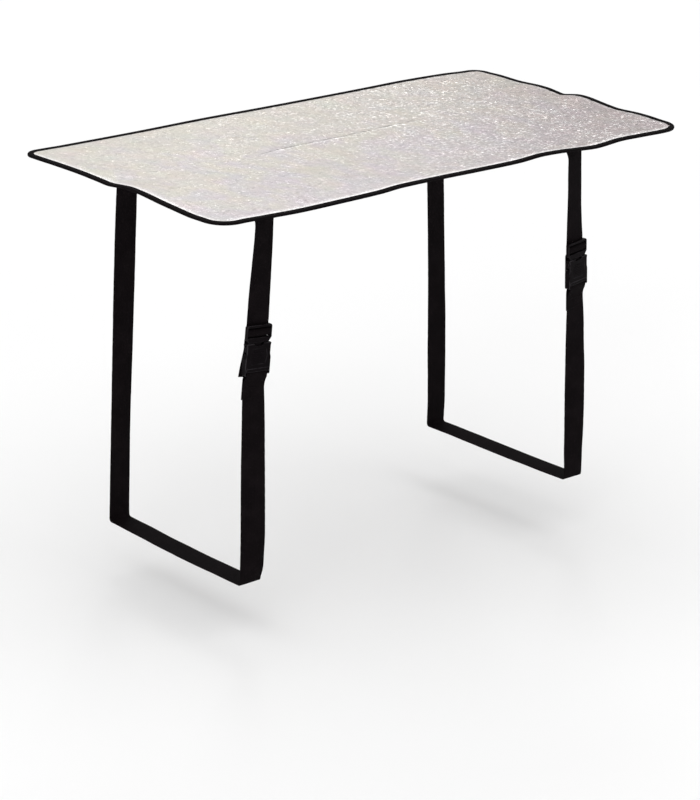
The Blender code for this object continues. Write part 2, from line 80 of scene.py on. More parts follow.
# Straps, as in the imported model: heights, places across, and distances from the space they go round.
# A tail's rows give its height on the buckle, how far it strays to the left, and how far behind it hangs.
SPACE_FRONT = -0.1585
SPACE_BACK = 0.1675
WEB_WIDTH = 0.040
WEB_THICKNESS = 0.0015
WEB_IN_LADDER = 0.0410
WEB_IN_LOOP = 0.0382
TAB_LENGTH = 0.048
BEND_RADIUS = 0.005
UPPER_ZONE = 0.045
LOWER_ZONE = 0.064
UPPER_STAND = 0.0014
LOWER_STAND = 0.0031
STRAPS = {
    "left": {
        "buckle": {"x": -0.3490, "z": -0.2316, "stand": 0.0050, "turn": -4.0, "lean": 3.5},
        "tail": ((-0.0060, 0.0008, 0.0013), (-0.0200, 0.0032, 0.0014), (-0.0330, 0.0052, 0.0016),
                 (-0.0440, 0.0064, 0.0019)),
        "above": ((-0.0180, -0.3358, 0.0016, 0.0), (-0.0346, -0.3359, 0.0040, 8.0),
                  (-0.0936, -0.3375, 0.0030, 3.4), (-0.1396, -0.3410, 0.0034, -1.0)),
        "below": ((-0.3436, -0.3504, 0.0062, -9.5), (-0.4406, -0.3489, 0.0070, -16.0),
                  (-0.5356, -0.3471, 0.0078, -18.0), (-0.5880, -0.3460, 0.0056, -12.0)),
        "foot": (-0.3455, -0.6140),
        "under": ((-0.110, -0.3460), (-0.040, -0.3475), (0.050, -0.3470), (0.120, -0.3455)),
        "behind": ((-0.560, -0.3450, 0.0024, 1.5), (-0.430, -0.3430, 0.0032, 3.0),
                   (-0.290, -0.3405, 0.0030, -1.5), (-0.150, -0.3380, 0.0026, -2.5),
                   (-0.050, -0.3360, 0.0018, 0.0)),
    },
    "right": {
        "buckle": {"x": 0.3288, "z": -0.2196, "stand": 0.0046, "turn": 5.0, "lean": -4.5},
        "tail": ((-0.0170, 0.0, 0.0013), (-0.0340, 0.0, 0.0014)),
        "above": ((-0.0180, 0.3140, 0.0018, 2.0), (-0.0300, 0.3149, 0.0056, 12.0),
                  (-0.0700, 0.3180, 0.0058, 13.0), (-0.1116, 0.3211, 0.0056, 12.5),
                  (-0.1480, 0.3236, 0.0056, 9.0)),
        "below": ((-0.3246, 0.3394, 0.0054, -1.0), (-0.3646, 0.3437, 0.0040, -4.2),
                  (-0.4026, 0.3461, 0.0046, -8.0), (-0.4986, 0.3524, 0.0042, -8.0),
                  (-0.5516, 0.3556, 0.0030, -4.0)),
        "foot": (0.3585, -0.6030),
        "under": ((-0.110, 0.3570), (-0.040, 0.3555), (0.050, 0.3545), (0.120, 0.3535)),
        "behind": ((-0.560, 0.3515, 0.0024, -1.0), (-0.430, 0.3460, 0.0034, -3.0),
                   (-0.290, 0.3370, 0.0030, 2.0), (-0.150, 0.3265, 0.0026, 2.0),
                   (-0.050, 0.3185, 0.0018, 0.0)),
    },
}
# Webbing through the ladder bars and round the lower bar: distance in front of the rear plane, height
LADDER_ROUTE = ((0.0014, 0.0400), (0.0014, 0.0366), (0.0017, 0.0346), (0.0034, 0.0328), (0.0061, 0.0316),
                (0.0079, 0.0304), (0.0082, 0.0275), (0.0080, 0.0243), (0.0066, 0.0220), (0.0044, 0.0209),
                (0.0019, 0.0206), (-0.0002, 0.0190), (-0.0011, 0.0160), (-0.0012, 0.0130), (-0.0012, 0.0020))
LOOP_ROUTE = ((0.0011, -0.0780), (0.0011, -0.0520), (0.0015, -0.0440), (0.0021, -0.0390), (0.0023, -0.0358),
              (0.0032, -0.0335), (0.0057, -0.0326), (0.0083, -0.0335), (0.0092, -0.0358), (0.0090, -0.0390),
              (0.0072, -0.0440), (0.0046, -0.0500), (0.0032, -0.0560), (0.0031, -LOWER_ZONE))

# Fineness of the dressed pieces
SHEET_CELL = 0.0040
WEB_STEP = 0.0018
TAPE_STEP = 0.0014
CLOTH_UV = "cloth"
RIM_HIGHLIGHT = "rim_pale"
UPPER_FACE = "upper_face"
EDGE_HIGHLIGHT = "edge_wear"

# Foil tones: warm and mauve patches, painted shade darkening towards one end, and the plain film beneath
FOIL_WARM = (0.640, 0.604, 0.548)
FOIL_MAUVE = (0.612, 0.570, 0.582)
FOIL_PAINTED_SHADE = (0.335, 0.281, 0.277)
FOIL_BACK = (0.560, 0.550, 0.545)
# Painted highlight along the rim, beside the tape
FOIL_RIM_HIGHLIGHT = (0.99, 0.97, 0.96)
SPECK_DARK = (0.36, 0.33, 0.32)
# Pale spots are painted glints
SPOT_PAINTED_GLINT = (0.97, 0.96, 0.94)
# Painted shade in the crease's fold, and the painted highlight on the ridge in front of it
FOLD_PAINTED_SHADE = (0.22, 0.20, 0.19)
RIDGE_PAINTED_HIGHLIGHT = (0.98, 0.97, 0.95)

# Darkest and palest tone of every other material, and the painted highlight on the plastic's edges
WEBBING_TONES = ((0.0022, 0.0014, 0.0018), (0.0105, 0.0078, 0.0088))
TAPE_TONES = ((0.0020, 0.0013, 0.0016), (0.0090, 0.0068, 0.0076))
THREAD_TONES = ((0.0025, 0.0018, 0.0021), (0.0105, 0.0082, 0.0090))
PLASTIC_TONES = ((0.0032, 0.0022, 0.0028), (0.0062, 0.0046, 0.0055))
PLASTIC_EDGE_HIGHLIGHT = (0.056, 0.051, 0.056)
FLOOR_TONES = ((0.90, 0.90, 0.90), (0.93, 0.93, 0.93))

# Glitter: each kind of flake's size across, and how far noise pushes the flakes about
COARSE_FLAKE = 0.0052
FINE_FLAKE = 0.0028
FLAKE_PUSH = 0.0030

# Weave: width of the webbing's rows, pitch of its floats and of the tape's ribs
WEAVE_ROW = 0.0025
WEAVE_FLOAT = 0.0022
TAPE_RIB = 0.0012


def smooth_step(low, high, value):
    t = min(max((value - low) / (high - low), 0.0), 1.0)
    return t * t * (3 - 2 * t)


def read_table(rows, place):
    """Smooth reading between a table's rows, whose first column is the place."""
    places = [row[0] for row in rows]
    order = 1 if places[-1] > places[0] else -1
    if (place - places[0]) * order <= 0:
        return tuple(rows[0][1:])
    if (place - places[-1]) * order >= 0:
        return tuple(rows[-1][1:])
    k = max(i for i in range(len(rows) - 1) if (place - places[i]) * order >= 0)
    span = places[k + 1] - places[k]
    t = (place - places[k]) / span
    result = []
    for column in range(1, len(rows[0])):
        slopes = []
        for i in (k, k + 1):
            low, high = max(i - 1, 0), min(i + 1, len(rows) - 1)
            slopes.append((rows[high][column] - rows[low][column]) / (places[high] - places[low]) * span)
        curve = (2 * t**3 - 3 * t**2 + 1) * rows[k][column] + (t**3 - 2 * t**2 + t) * slopes[0]
        curve += (3 * t**2 - 2 * t**3) * rows[k + 1][column] + (t**3 - t**2) * slopes[1]
        result.append(curve)
    return tuple(result)


# Shader expressions

class Signal:
    """One socket of a material's tree. Arithmetic on it adds Math nodes."""

    def __init__(self, finish, socket):
        self.finish = finish
        self.socket = socket

    def math(self, operation, *others):
        values = dict(enumerate((self, *others)))
        return self.finish.node("ShaderNodeMath", {"operation": operation}, values)

    def __add__(self, other):
        return self.math("ADD", other)

    __radd__ = __add__

    def __sub__(self, other):
        return self.math("SUBTRACT", other)

    def __rsub__(self, other):
        return self.math("MULTIPLY_ADD", -1.0, other)

    def __mul__(self, other):
        return self.math("MULTIPLY", other)

    __rmul__ = __mul__

    def __truediv__(self, other):
        return self.math("DIVIDE", other)

    def ripple(self):
        """A sine of the value, from 0 to 1 and back for each whole step."""
        return (self * (2 * math.pi)).math("SINE") * 0.5 + 0.5

    def zigzag(self):
        return self.math("PINGPONG", 1.0)

    def at_most(self, limit):
        return self.math("MINIMUM", limit)

    def ramp(self, low, high):
        """Smooth rise from 0 at low to 1 at high."""
        values = {"Value": self, "From Min": low, "From Max": high}
        return self.finish.node("ShaderNodeMapRange", {"interpolation_type": "SMOOTHSTEP"}, values)


class Finish:
    """A material and the nodes that feed its surface shader."""

    def __init__(self, name, **constants):
        self.material = bpy.data.materials.new(name)
        self.material.use_nodes = True
        self.tree = self.material.node_tree
        self.surface = self.tree.nodes["Principled BSDF"]
        for words, value in constants.items():
            self.surface.inputs[words.replace("_", " ")].default_value = value

    def feed(self, socket, value):
        if isinstance(value, Signal):
            self.tree.links.new(value.socket, socket)
        elif isinstance(value, tuple) and len(value) == 3 and len(socket.default_value) == 4:
            socket.default_value = (*value, 1.0)
        else:
            socket.default_value = value

    def node(self, kind, settings=None, values=None, output=0):
        """A node: its settings first, then its sockets' values or links. Gives the named output."""
        made = self.tree.nodes.new(kind)
        for key, value in (settings or {}).items():
            setattr(made, key, value)
        for key, value in (values or {}).items():
            self.feed(made.inputs[key], value)
        return Signal(self, made.outputs[output])

    def surface_from(self, **signals):
        for words, value in signals.items():
            self.feed(self.surface.inputs[words.replace("_", " ")], value)
        return self.material

    def object_place(self):
        return self.node("ShaderNodeTexCoord", output="Object")

    def cloth_place(self):
        """Metres across and along the cloth, from its own UV map."""
        flat = self.node("ShaderNodeUVMap", {"uv_map": CLOTH_UV})
        return flat, self.part(flat, "X"), self.part(flat, "Y")

    def mesh_number(self, name):
        return self.node("ShaderNodeAttribute", {"attribute_name": name}, output="Fac")

    def part(self, vector, axis):
        return self.node("ShaderNodeSeparateXYZ", None, {0: vector}, axis)

    def grain(self, place, size, detail=2.0, output=0):
        """Noise whose features are about a size across, in metres."""
        values = {"Vector": place, "Scale": 1 / size, "Detail": detail, "Roughness": 0.55}
        return self.node("ShaderNodeTexNoise", None, values, output)

    def cells(self, place, size, output="Color"):
        values = {"Vector": place, "Scale": 1 / size, "Randomness": 1.0}
        return self.node("ShaderNodeTexVoronoi", None, values, output)

    def blend(self, first, second, share):
        return self.node("ShaderNodeMix", {"data_type": "RGBA"}, {0: share, 6: first, 7: second}, 2)

    def vector(self, operation, *values):
        return self.node("ShaderNodeVectorMath", {"operation": operation}, dict(enumerate(values)))

    def bump(self, height, distance, strength):
        values = {"Height": height, "Distance": distance, "Strength": strength}
        return self.node("ShaderNodeBump", None, values)


def foil_tone(finish, place, along, back):
    """The film's colour: warm and mauve patches under pastel tints, with painted shade darkening it towards
    the right front.
    """
    drawn_out = finish.vector("MULTIPLY", place, (1.0, 0.75, 1.0))
    drift = finish.grain(place, 0.24)
    blot = finish.grain(drawn_out, 0.070, 3.0).ramp(0.42, 0.60)
    warm = finish.blend(FOIL_WARM, FOIL_MAUVE, (drift * 1.4 + blot * 0.8 - back * 2.8 - 0.75).ramp(0.0, 1.0))
    # Painted shade: the film is darkened towards the right front
    aslant = along - back * 0.8
    painted_shade = aslant.ramp(-0.40, 0.02) * 0.20 + aslant.ramp(0.02, 0.62) * 0.65
    pastel = finish.grain(drawn_out, 0.040, 2.0, "Color")
    tint = finish.vector("MULTIPLY_ADD", pastel, (0.16, 0.11, 0.16), (0.920, 0.943, 0.920))
    return finish.vector("MULTIPLY", finish.blend(warm, FOIL_PAINTED_SHADE, painted_shade), tint)


def glitter_shares(finish, place, along, shaken, coarse, fine):
    """Shares of metal flake, painted glint (a pale spot) and dark speck, each thicker where a broad noise
    crowds them.
    """
    patches = finish.grain(place, 0.060, 3.0)
    crowd = patches * 0.50 + along.ramp(-0.35, 0.22) * 0.15 - along.ramp(0.34, 0.48) * 0.07 - 0.345
    coarse_lot, fine_lot = finish.part(coarse, "X"), finish.part(fine, "X")
    coarse_middle = finish.cells(shaken, COARSE_FLAKE, "Distance").ramp(0.72, 0.30)
    fine_middle = finish.cells(shaken, FINE_FLAKE, "Distance").ramp(0.74, 0.32)
    flake = (coarse_lot + crowd).ramp(0.66, 0.72) * 0.7 + (fine_lot + crowd).ramp(0.62, 0.70) * 0.7
    painted_glints = (coarse_lot + crowd).ramp(0.86, 0.96) * coarse_middle
    painted_glints = painted_glints + (fine_lot + crowd).ramp(0.84, 0.96) * fine_middle
    dark = (1.0 - coarse_lot + crowd).ramp(0.92, 1.00) + (1.0 - fine_lot + crowd).ramp(0.90, 1.00)
    return flake.at_most(1.0), painted_glints.at_most(1.0), dark.at_most(1.0)


def flake_normal(finish, relief, coarse, fine, lean):
    """The relief's normal, leant sideways by an amount that is each flake's own."""
    tilt = finish.vector("MULTIPLY_ADD", coarse, (0.0, 0.56, 0.56), (0.0, -0.28, -0.28))
    tilt_fine = finish.vector("MULTIPLY_ADD", fine, (0.0, 0.48, 0.48), (0.0, -0.24, -0.24))
    both = finish.vector("ADD", tilt, tilt_fine)
    sideways = finish.node("ShaderNodeCombineXYZ", None,
                           {0: finish.part(both, "Y") * lean, 1: finish.part(both, "Z") * lean})
    return finish.vector("NORMALIZE", finish.vector("ADD", relief, sideways))


def foil_finish():
    """Metallised film with coarse glitter: flakes tilted every way, painted glints, a painted highlight
    along the rim and one old crease with painted shade and a painted highlight.
    """
    finish = Finish("foil_glitter", IOR=1.45, Specular_IOR_Level=0.35)
    place = finish.object_place()
    along, back = finish.part(place, "X"), finish.part(place, "Y")
    upper = finish.mesh_number(UPPER_FACE)
    lively = along.ramp(-0.15, 0.40) * 0.34 + 0.53
    push = finish.grain(place, 0.009, 2.0, "Color")
    shaken = finish.vector("MULTIPLY_ADD", push, (FLAKE_PUSH, FLAKE_PUSH, FLAKE_PUSH), place)
    coarse, fine = finish.cells(shaken, COARSE_FLAKE), finish.cells(shaken, FINE_FLAKE)
    flake, painted_glints, dark = glitter_shares(finish, place, along, shaken, coarse, fine)
    flake = flake * (upper * 0.85 + 0.15)
    fold, ridge_highlight = crease_signals(finish, place, along, back)

    shaded = finish.blend(foil_tone(finish, place, along, back), SPECK_DARK, dark * lively * 0.33)
    # Painted glints: pale spots among the flakes
    lit = finish.blend(shaded, SPOT_PAINTED_GLINT, painted_glints * lively * 0.76)
    # Painted highlight along the rim
    rimmed = finish.blend(lit, FOIL_RIM_HIGHLIGHT, finish.mesh_number(RIM_HIGHLIGHT))
    # Painted shade in the crease's fold and painted highlight on its ridge
    creased = finish.blend(finish.blend(rimmed, FOLD_PAINTED_SHADE, fold * 0.85), RIDGE_PAINTED_HIGHLIGHT, ridge_highlight * 0.7)
    colour = finish.blend(finish.blend(FOIL_BACK, creased, 0.25), creased, upper)

    crinkle = finish.grain(shaken, 0.0050, 3.0) + finish.grain(place, 0.020) * 1.5 - fold * 1.2
    relief = finish.bump(crinkle, 0.0011, 0.55)
    normal = flake_normal(finish, relief, coarse, fine, (flake * 0.7 + 0.3) * lively)
    glint = flake * lively
    return finish.surface_from(Base_Color=colour, Metallic=0.24 + glint * 0.48,
                               Roughness=0.47 - glint * 0.24, Normal=normal)


def crease_signals(finish, place, along, back):
    """The old crease: painted shade along its fold line and a painted highlight on the ridge in front of it,
    both broken up and fading.
    """
    (x0, y0), (x1, y1) = CREASE["ends"]
    share = (along - x0) / (x1 - x0)
    wave = (share * CREASE["waves"]).math("SINE") * CREASE["sway"]
    sway = (finish.grain(place, 0.030) - 0.5) * 0.006 + wave
    offset = back - y0 - share * (y1 - y0) - sway
    present = share.ramp(-0.05, 0.06) * (1.0 - share.ramp(0.62, 1.05)) * finish.mesh_number(UPPER_FACE)
    broken = finish.grain(place, 0.010).ramp(0.36, 0.56)
    fold = (offset * offset * -3.2e5).math("EXPONENT") * present * broken
    ahead = offset + 0.0042
    spotted = finish.grain(place, 0.007).ramp(0.42, 0.62)
    ridge_highlight = (ahead * ahead * -2.6e5).math("EXPONENT") * present * spotted
    return fold, ridge_highlight


def webbing_finish():
    """Black herringbone webbing: rows of warp bundles with slanting floats, worn a little paler on top."""
    finish = Finish("black_webbing", Specular_IOR_Level=0.03)
    flat, across, along = finish.cloth_place()
    rows = across / WEAVE_ROW
    slant = along / WEAVE_FLOAT + rows.zigzag() * 0.55
    bundle = (rows * math.pi).math("SINE").math("ABSOLUTE")
    floats = slant.ripple() * bundle
    fibre = finish.grain(flat, 0.0009, 3.0)
    worn = finish.grain(flat, 0.030, 3.0)
    height = floats + fibre * 0.35
    tone = floats * 0.55 + fibre * 0.25 + worn.ramp(0.35, 0.75) * 0.35
    colour = finish.blend(*WEBBING_TONES, tone)
    return finish.surface_from(Base_Color=colour, Roughness=0.72 + worn * 0.16,
                               Normal=finish.bump(height, 0.0004, 0.8))


def tape_finish():
    """Black ribbed binding tape, its ribs square to the edge."""
    finish = Finish("black_binding", Specular_IOR_Level=0.03)
    flat, _, along = finish.cloth_place()
    ribs = (along / TAPE_RIB).ripple()
    fibre = finish.grain(flat, 0.0008, 3.0)
    worn = finish.grain(flat, 0.022, 3.0)
    tone = ribs * 0.35 + fibre * 0.30 + worn.ramp(0.4, 0.75) * 0.35
    colour = finish.blend(*TAPE_TONES, tone)
    return finish.surface_from(Base_Color=colour, Roughness=0.68 + worn * 0.18,
                               Normal=finish.bump(ribs + fibre * 0.4, 0.0003, 0.7))


def thread_finish():
    """Black sewing thread with the faint gloss of polyester."""
    finish = Finish("black_thread", Specular_IOR_Level=0.08)
    place = finish.object_place()
    twist = finish.grain(place, 0.0006)
    colour = finish.blend(*THREAD_TONES, twist)
    return finish.surface_from(Base_Color=colour, Roughness=0.42 + twist * 0.2,
                               Normal=finish.bump(twist, 0.0002, 0.5))


def buckle_finish():
    """Satin moulded plastic with a fine eroded grain, smoother where handled, a painted highlight on its
    rounded edges.
    """
    finish = Finish("buckle_satin", Specular_IOR_Level=0.024)
    place = finish.object_place()
    eroded = finish.grain(place, 0.0007)
    handled = finish.grain(place, 0.014, 3.0)
    # Painted highlight on the rounded edges, broken up by noise
    edge_highlight_share = finish.mesh_number(EDGE_HIGHLIGHT) * handled.ramp(0.30, 0.55)
    colour = finish.blend(finish.blend(*PLASTIC_TONES, handled), PLASTIC_EDGE_HIGHLIGHT, edge_highlight_share * 0.75)
    return finish.surface_from(Base_Color=colour, Roughness=0.24 + handled * 0.14 + eroded * 0.06,
                               Normal=finish.bump(eroded, 0.0001, 0.5))


def floor_finish():
    finish = Finish("pale_floor", Specular_IOR_Level=0.1, Roughness=0.9)
    mottle = finish.grain(finish.object_place(), 0.8)
    return finish.surface_from(Base_Color=finish.blend(*FLOOR_TONES, mottle))


# Meshes

def add_object(name, data):
    thing = bpy.data.objects.new(name, data)
    bpy.context.scene.collection.objects.link(thing)
    return thing


def add_piece(name, points, faces, material, smooth=True):
    mesh = bpy.data.meshes.new(name)
    mesh.from_pydata([tuple(p) for p in points], [], faces)
    mesh.materials.append(material)
    mesh.update()
    if smooth:
        mesh.shade_smooth()
    return add_object(name, mesh)


def map_cloth(thing, flat_places):
    """Gives each face corner its place on the flat cloth, in metres, from a list for each face."""
    layer = thing.data.uv_layers.new(name=CLOTH_UV)
    corners = [place for face in flat_places for place in face]
    layer.data.foreach_set("uv", [number for place in corners for number in place])


def wear(thing, slot, *nodes):
    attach(thing, BODY)
    if nodes:
        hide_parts(*nodes)
    return thing


# Sheet and tape

def rim_fall(inset):
    t = min(max(inset, 0.0) / RIM_REACH, 1.0)
    return (1 - t) ** 2 * (1 + 2 * t)


def underside(x, y):
    """Height of the sheet's underside: the rim's waves, and the slight lift outside its flat middle."""
    sides = ((y + DEPTH / 2, FRONT_RISE, x), (LENGTH / 2 - x, RIGHT_RISE, y),
             (DEPTH / 2 - y, BACK_RISE, x), (x + LENGTH / 2, LEFT_RISE, y))
    pull = total = 0.0
    for inset, table, place in sides:
        fall = rim_fall(inset)
        if fall > 0.0:
            pull += fall * fall * read_table(table, place)[0]
            total += fall
    rise = pull / total if total else 0.0
    inset = min(side[0] for side in sides)
    return rise + TAB_LIFT * (1 - smooth_step(*FLAT_INSETS, inset))


# Soft forms on the sheet's upper face
PUFF = 0.0009              # the padded sheet swells where the tape lets it go
PUFF_INSETS = (0.0104, 0.0170, 0.060)
CREASE = {"ends": ((-0.185, 0.025), (0.230, 0.043)), "height": 0.0009, "width": 0.0050,
          "waves": 11.0, "sway": 0.0012}
HIGHLIGHT_INSETS = (0.0120, 0.0190)   # painted highlight on the foil beside the tape, most at the front and left
HIGHLIGHT_SHARES = {"front": 0.85, "left": 0.80, "right": 0.40, "back": 0.35}
SWELLS = ((0.105, 0.0007), (0.042, 0.00038), (0.017, 0.00016))   # size across, height


def crease_height(x, y):
    (x0, y0), (x1, y1) = CREASE["ends"]
    share = (x - x0) / (x1 - x0)
    line = y0 + (y1 - y0) * share + CREASE["sway"] * math.sin(share * CREASE["waves"])
    fade = smooth_step(-0.04, 0.10, share) * (1 - smooth_step(0.70, 1.05, share))
    offset = (y - line) / CREASE["width"]
    return CREASE["height"] * fade * math.exp(-offset * offset)


def sheet_top(x, y):
    """Height of the foil above the underside's plane, with its puffed rim, swells and one old crease."""
    inset = min(y + DEPTH / 2, DEPTH / 2 - y, x + LENGTH / 2, LENGTH / 2 - x)
    free = smooth_step(PUFF_INSETS[0], PUFF_INSETS[1], inset)
    form = PUFF * (1 - 0.75 * smooth_step(PUFF_INSETS[1], PUFF_INSETS[2], inset))
    for size, height in SWELLS:
        form += height * noise.noise(Vector((x / size, y / size, size * 100)))
    return underside(x, y) + SHEET_THICKNESS + free * (form + crease_height(x, y))


# Share of the painted highlight along the rim, strongest at the front and left
def rim_highlight_share(x, y):
    insets = {"front": y + DEPTH / 2, "left": x + LENGTH / 2,
              "right": LENGTH / 2 - x, "back": DEPTH / 2 - y}
    return max(HIGHLIGHT_SHARES[side] * (1 - smooth_step(*HIGHLIGHT_INSETS, inset)) for side, inset in insets.items())


def corner_squeeze(x, y, half_x, half_y):
    """Moves a point of a plain rectangle into one with rounded corners."""
    radius = (FRONT_CORNER_RADIUS if y < 0 else BACK_CORNER_RADIUS) - (LENGTH / 2 - half_x)
    a = (abs(x) - (half_x - radius)) / radius
    b = (abs(y) - (half_y - radius)) / radius
    if a <= 0 or b <= 0:
        return x, y
    reach = max(a, b)
    angle = math.pi / 4 * b / a if a >= b else math.pi / 2 - math.pi / 4 * a / b
    near_x = half_x - radius + radius * reach * math.cos(angle)
    near_y = half_y - radius + radius * reach * math.sin(angle)
    return math.copysign(near_x, x), math.copysign(near_y, y)


def make_foil_sheet(material):
    """The whole sheet as one closed mesh: upper grid, lower grid and the cut edge between them."""
    inset = TAPE_THICKNESS + GAP
    half_x, half_y = LENGTH / 2 - inset, DEPTH / 2 - inset
    columns, rows = round(2 * half_x / SHEET_CELL), round(2 * half_y / SHEET_CELL)
    plan = []
    for j in range(rows + 1):
        for i in range(columns + 1):
            x, y = 2 * half_x * i / columns - half_x, 2 * half_y * j / rows - half_y
            plan.append(corner_squeeze(x, y, half_x, half_y))
    points = [(x, y, sheet_top(x, y)) for x, y in plan]
    points += [(x, y, underside(x, y)) for x, y in plan]
    lower, wide = len(plan), columns + 1
    faces = []
    for j in range(rows):
        for i in range(columns):
            a = j * wide + i
            faces.append((a, a + 1, a + 1 + wide, a + wide))
            faces.append((lower + a, lower + a + wide, lower + a + 1 + wide, lower + a + 1))
    edge = list(range(columns)) + [j * wide + columns for j in range(rows)]
    edge += [rows * wide + i for i in range(columns, 0, -1)] + [j * wide for j in range(rows, 0, -1)]
    for a, b in zip(edge, edge[1:] + edge[:1]):
        faces.append((a, lower + a, lower + b, b))
    sheet = add_piece("foil_sheet", points, faces, material)
    # Share of the painted highlight along the rim, on the upper face only
    numbers = {RIM_HIGHLIGHT: [rim_highlight_share(x, y) for x, y in plan] + [0.0] * len(plan),
               UPPER_FACE: [1.0] * len(plan) + [0.0] * len(plan)}
    for name, values in numbers.items():
        sheet.data.attributes.new(name, "FLOAT", "POINT").data.foreach_set("value", values)
    sheet.data.set_sharp_from_angle(angle=math.radians(60))
    map_cloth(sheet, [[points[k][:2] for k in face] for face in faces])
    wear(sheet, "foil_face", "cover_panel")
    return sheet, (2 * half_x, 2 * half_y)


def rim_stations(step):
    """Places round the outer line, counter-clockwise: point, outward direction and distance run."""
    half_x, half_y = LENGTH / 2, DEPTH / 2
    corners = ((half_x, -half_y, FRONT_CORNER_RADIUS, -90), (half_x, half_y, BACK_CORNER_RADIUS, 0),
               (-half_x, half_y, BACK_CORNER_RADIUS, 90), (-half_x, -half_y, FRONT_CORNER_RADIUS, 180))
    arcs = []
    for x, y, radius, start in corners:
        centre = Vector((x - math.copysign(radius, x), y - math.copysign(radius, y)))
        arcs.append((centre, radius, math.radians(start)))
    stations, run = [], 0.0
    for k, (centre, radius, start) in enumerate(arcs):
        before, before_radius, _ = arcs[k - 1]
        out = Vector((math.cos(start), math.sin(start)))
        first, last = before + before_radius * out, centre + radius * out
        span = (last - first).length
        count = round(span / step)
        stations += [(first.lerp(last, i / count), out, run + span * i / count) for i in range(count)]
        run += span
        span = radius * math.pi / 2
        count = round(span / step)
        for i in range(count):
            angle = start + math.pi / 2 * i / count
            out = Vector((math.cos(angle), math.sin(angle)))
            stations.append((centre + radius * out, out, run + span * i / count))
        run += span
    return stations


# Binding tape: its upper face, and the seam that dimples it
TAPE_TOP = SHEET_THICKNESS + GAP + TAPE_THICKNESS
TAPE_SKIN = 0.0005
STITCH_INSET = 0.0078
STITCH_PITCH = 0.0042
PUCKER = 0.00016
PUCKER_WIDTH = 0.0009
SEAM_PROUD = 0.00004


def tape_section():
    """Outer then inner side of the folded tape, as insets from the rim and heights above the underside."""
    low, middle = -GAP - TAPE_THICKNESS, SHEET_THICKNESS / 2
    bend = TAPE_TOP - middle
    selvedge = ((TAPE_WIDTH, 0.00035), (TAPE_WIDTH - 0.00015, 0.00008))
    flat = (TAPE_WIDTH - 0.0006, STITCH_INSET + 0.0006, STITCH_INSET, STITCH_INSET - 0.0006, 0.0055, 0.0035)
    outer = [(inset, TAPE_TOP - short) for inset, short in selvedge] + [(inset, TAPE_TOP) for inset in flat]
    for k in range(7):
        angle = math.pi / 2 + math.pi * k / 6
        outer.append((bend * 0.62 * (1 + math.cos(angle)), middle + bend * math.sin(angle)))
    outer += [(inset, low) for inset in reversed(flat)]
    outer += [(inset, low + short) for inset, short in reversed(selvedge)]
    inner = [(TAPE_WIDTH, -GAP), (TAPE_THICKNESS + 0.0004, -GAP), (TAPE_THICKNESS, 0.0),
             (TAPE_THICKNESS, SHEET_THICKNESS), (TAPE_THICKNESS + 0.0004, SHEET_THICKNESS + GAP),
             (TAPE_WIDTH, SHEET_THICKNESS + GAP)]
    return outer, inner


def tape_place(station, inset, height):
    """Point on the tape: the plan comes from the rim, the height from the sheet it clasps."""
    point, out, run = station
    plan = point - out * inset
    sag = 0.0
    if height > TAPE_TOP - TAPE_SKIN or height < -GAP - TAPE_THICKNESS + TAPE_SKIN:
        near_seam = math.exp(-((inset - STITCH_INSET) / PUCKER_WIDTH) ** 2)
        pull = 0.5 + 0.5 * math.cos(2 * math.pi * run / STITCH_PITCH)
        sag = -math.copysign(PUCKER * near_seam * (0.35 + 0.65 * pull), height - SHEET_THICKNESS / 2)
    return Vector((plan.x, plan.y, underside(plan.x, plan.y) + height + sag))


def swept_faces(across, run, rings):
    """Faces between rings of points, and each face's corners on the flat cloth: place across and run."""
    size, faces, flat = len(across), [], []
    for k in range(len(run) - 1):
        for j in range(size):
            a, b, after = k * size, (k + 1) % rings * size, (j + 1) % size
            faces.append((a + j, a + after, b + after, b + j))
            flat.append(((across[j], run[k]), (across[after], run[k]),
                         (across[after], run[k + 1]), (across[j], run[k + 1])))
    return faces, flat


def make_tape(stations, material):
    outer, inner = tape_section()
    section = outer + inner
    across, spans = [0.0], 0.0
    for a, b in zip(outer, outer[1:]):
        spans += math.dist(a, b)
        across.append(spans)
    across += [spans * (1 - k / (len(inner) - 1)) for k in range(len(inner))]
    points = [tape_place(station, inset, height) for station in stations for inset, height in section]
    run = [station[2] for station in stations] + [stations[-1][2] + TAPE_STEP]
    faces, flat = swept_faces(across, run, len(stations))
    tape = add_piece("edge_tape", points, faces, material)
    map_cloth(tape, flat)
    tape.data.set_sharp_from_angle(angle=math.radians(70))
    wear(tape, "binding_tape", "edge_binding")
    return tape, (spans, run[-1])


# Straps

ACROSS = Vector((1.0, 0.0, 0.0))
BEND_STEPS = 4


def spin(degrees, axis):
    return Matrix.Rotation(math.radians(degrees), 4, axis)


def buckle_frame(strap):
    """Axes and place of the buckle: across, to the back and up, its rear plane through the origin."""
    seat = strap["buckle"]
    place = Matrix.Translation((seat["x"], SPACE_FRONT - seat["stand"], seat["z"]))
    return place @ spin(seat["turn"], "Z") @ spin(seat["lean"], "Y")


def turned(degrees):
    return Vector((math.cos(math.radians(degrees)), math.sin(math.radians(degrees)), 0.0))


def square_section(x, y, z):
    """Middle of the webbing and its direction across, where that runs straight along the cover."""
    return Vector((x, y, z)), ACROSS


def fall_section(row):
    height, x, stand, turn = row
    return Vector((x, SPACE_FRONT - stand, height)), turned(turn)


def rows_between(table, step):
    first, last = table[0][0], table[-1][0]
    count = max(1, round(abs(last - first) / step))
    heights = [first + (last - first) * k / count for k in range(count + 1)]
    return [(height, *read_table(table, height)) for height in heights]


def buckle_row(strap, up, stand):
    place = buckle_frame(strap) @ Vector((0.0, -stand, up))
    return (place.z, place.x, SPACE_FRONT - place.y, strap["buckle"]["turn"])


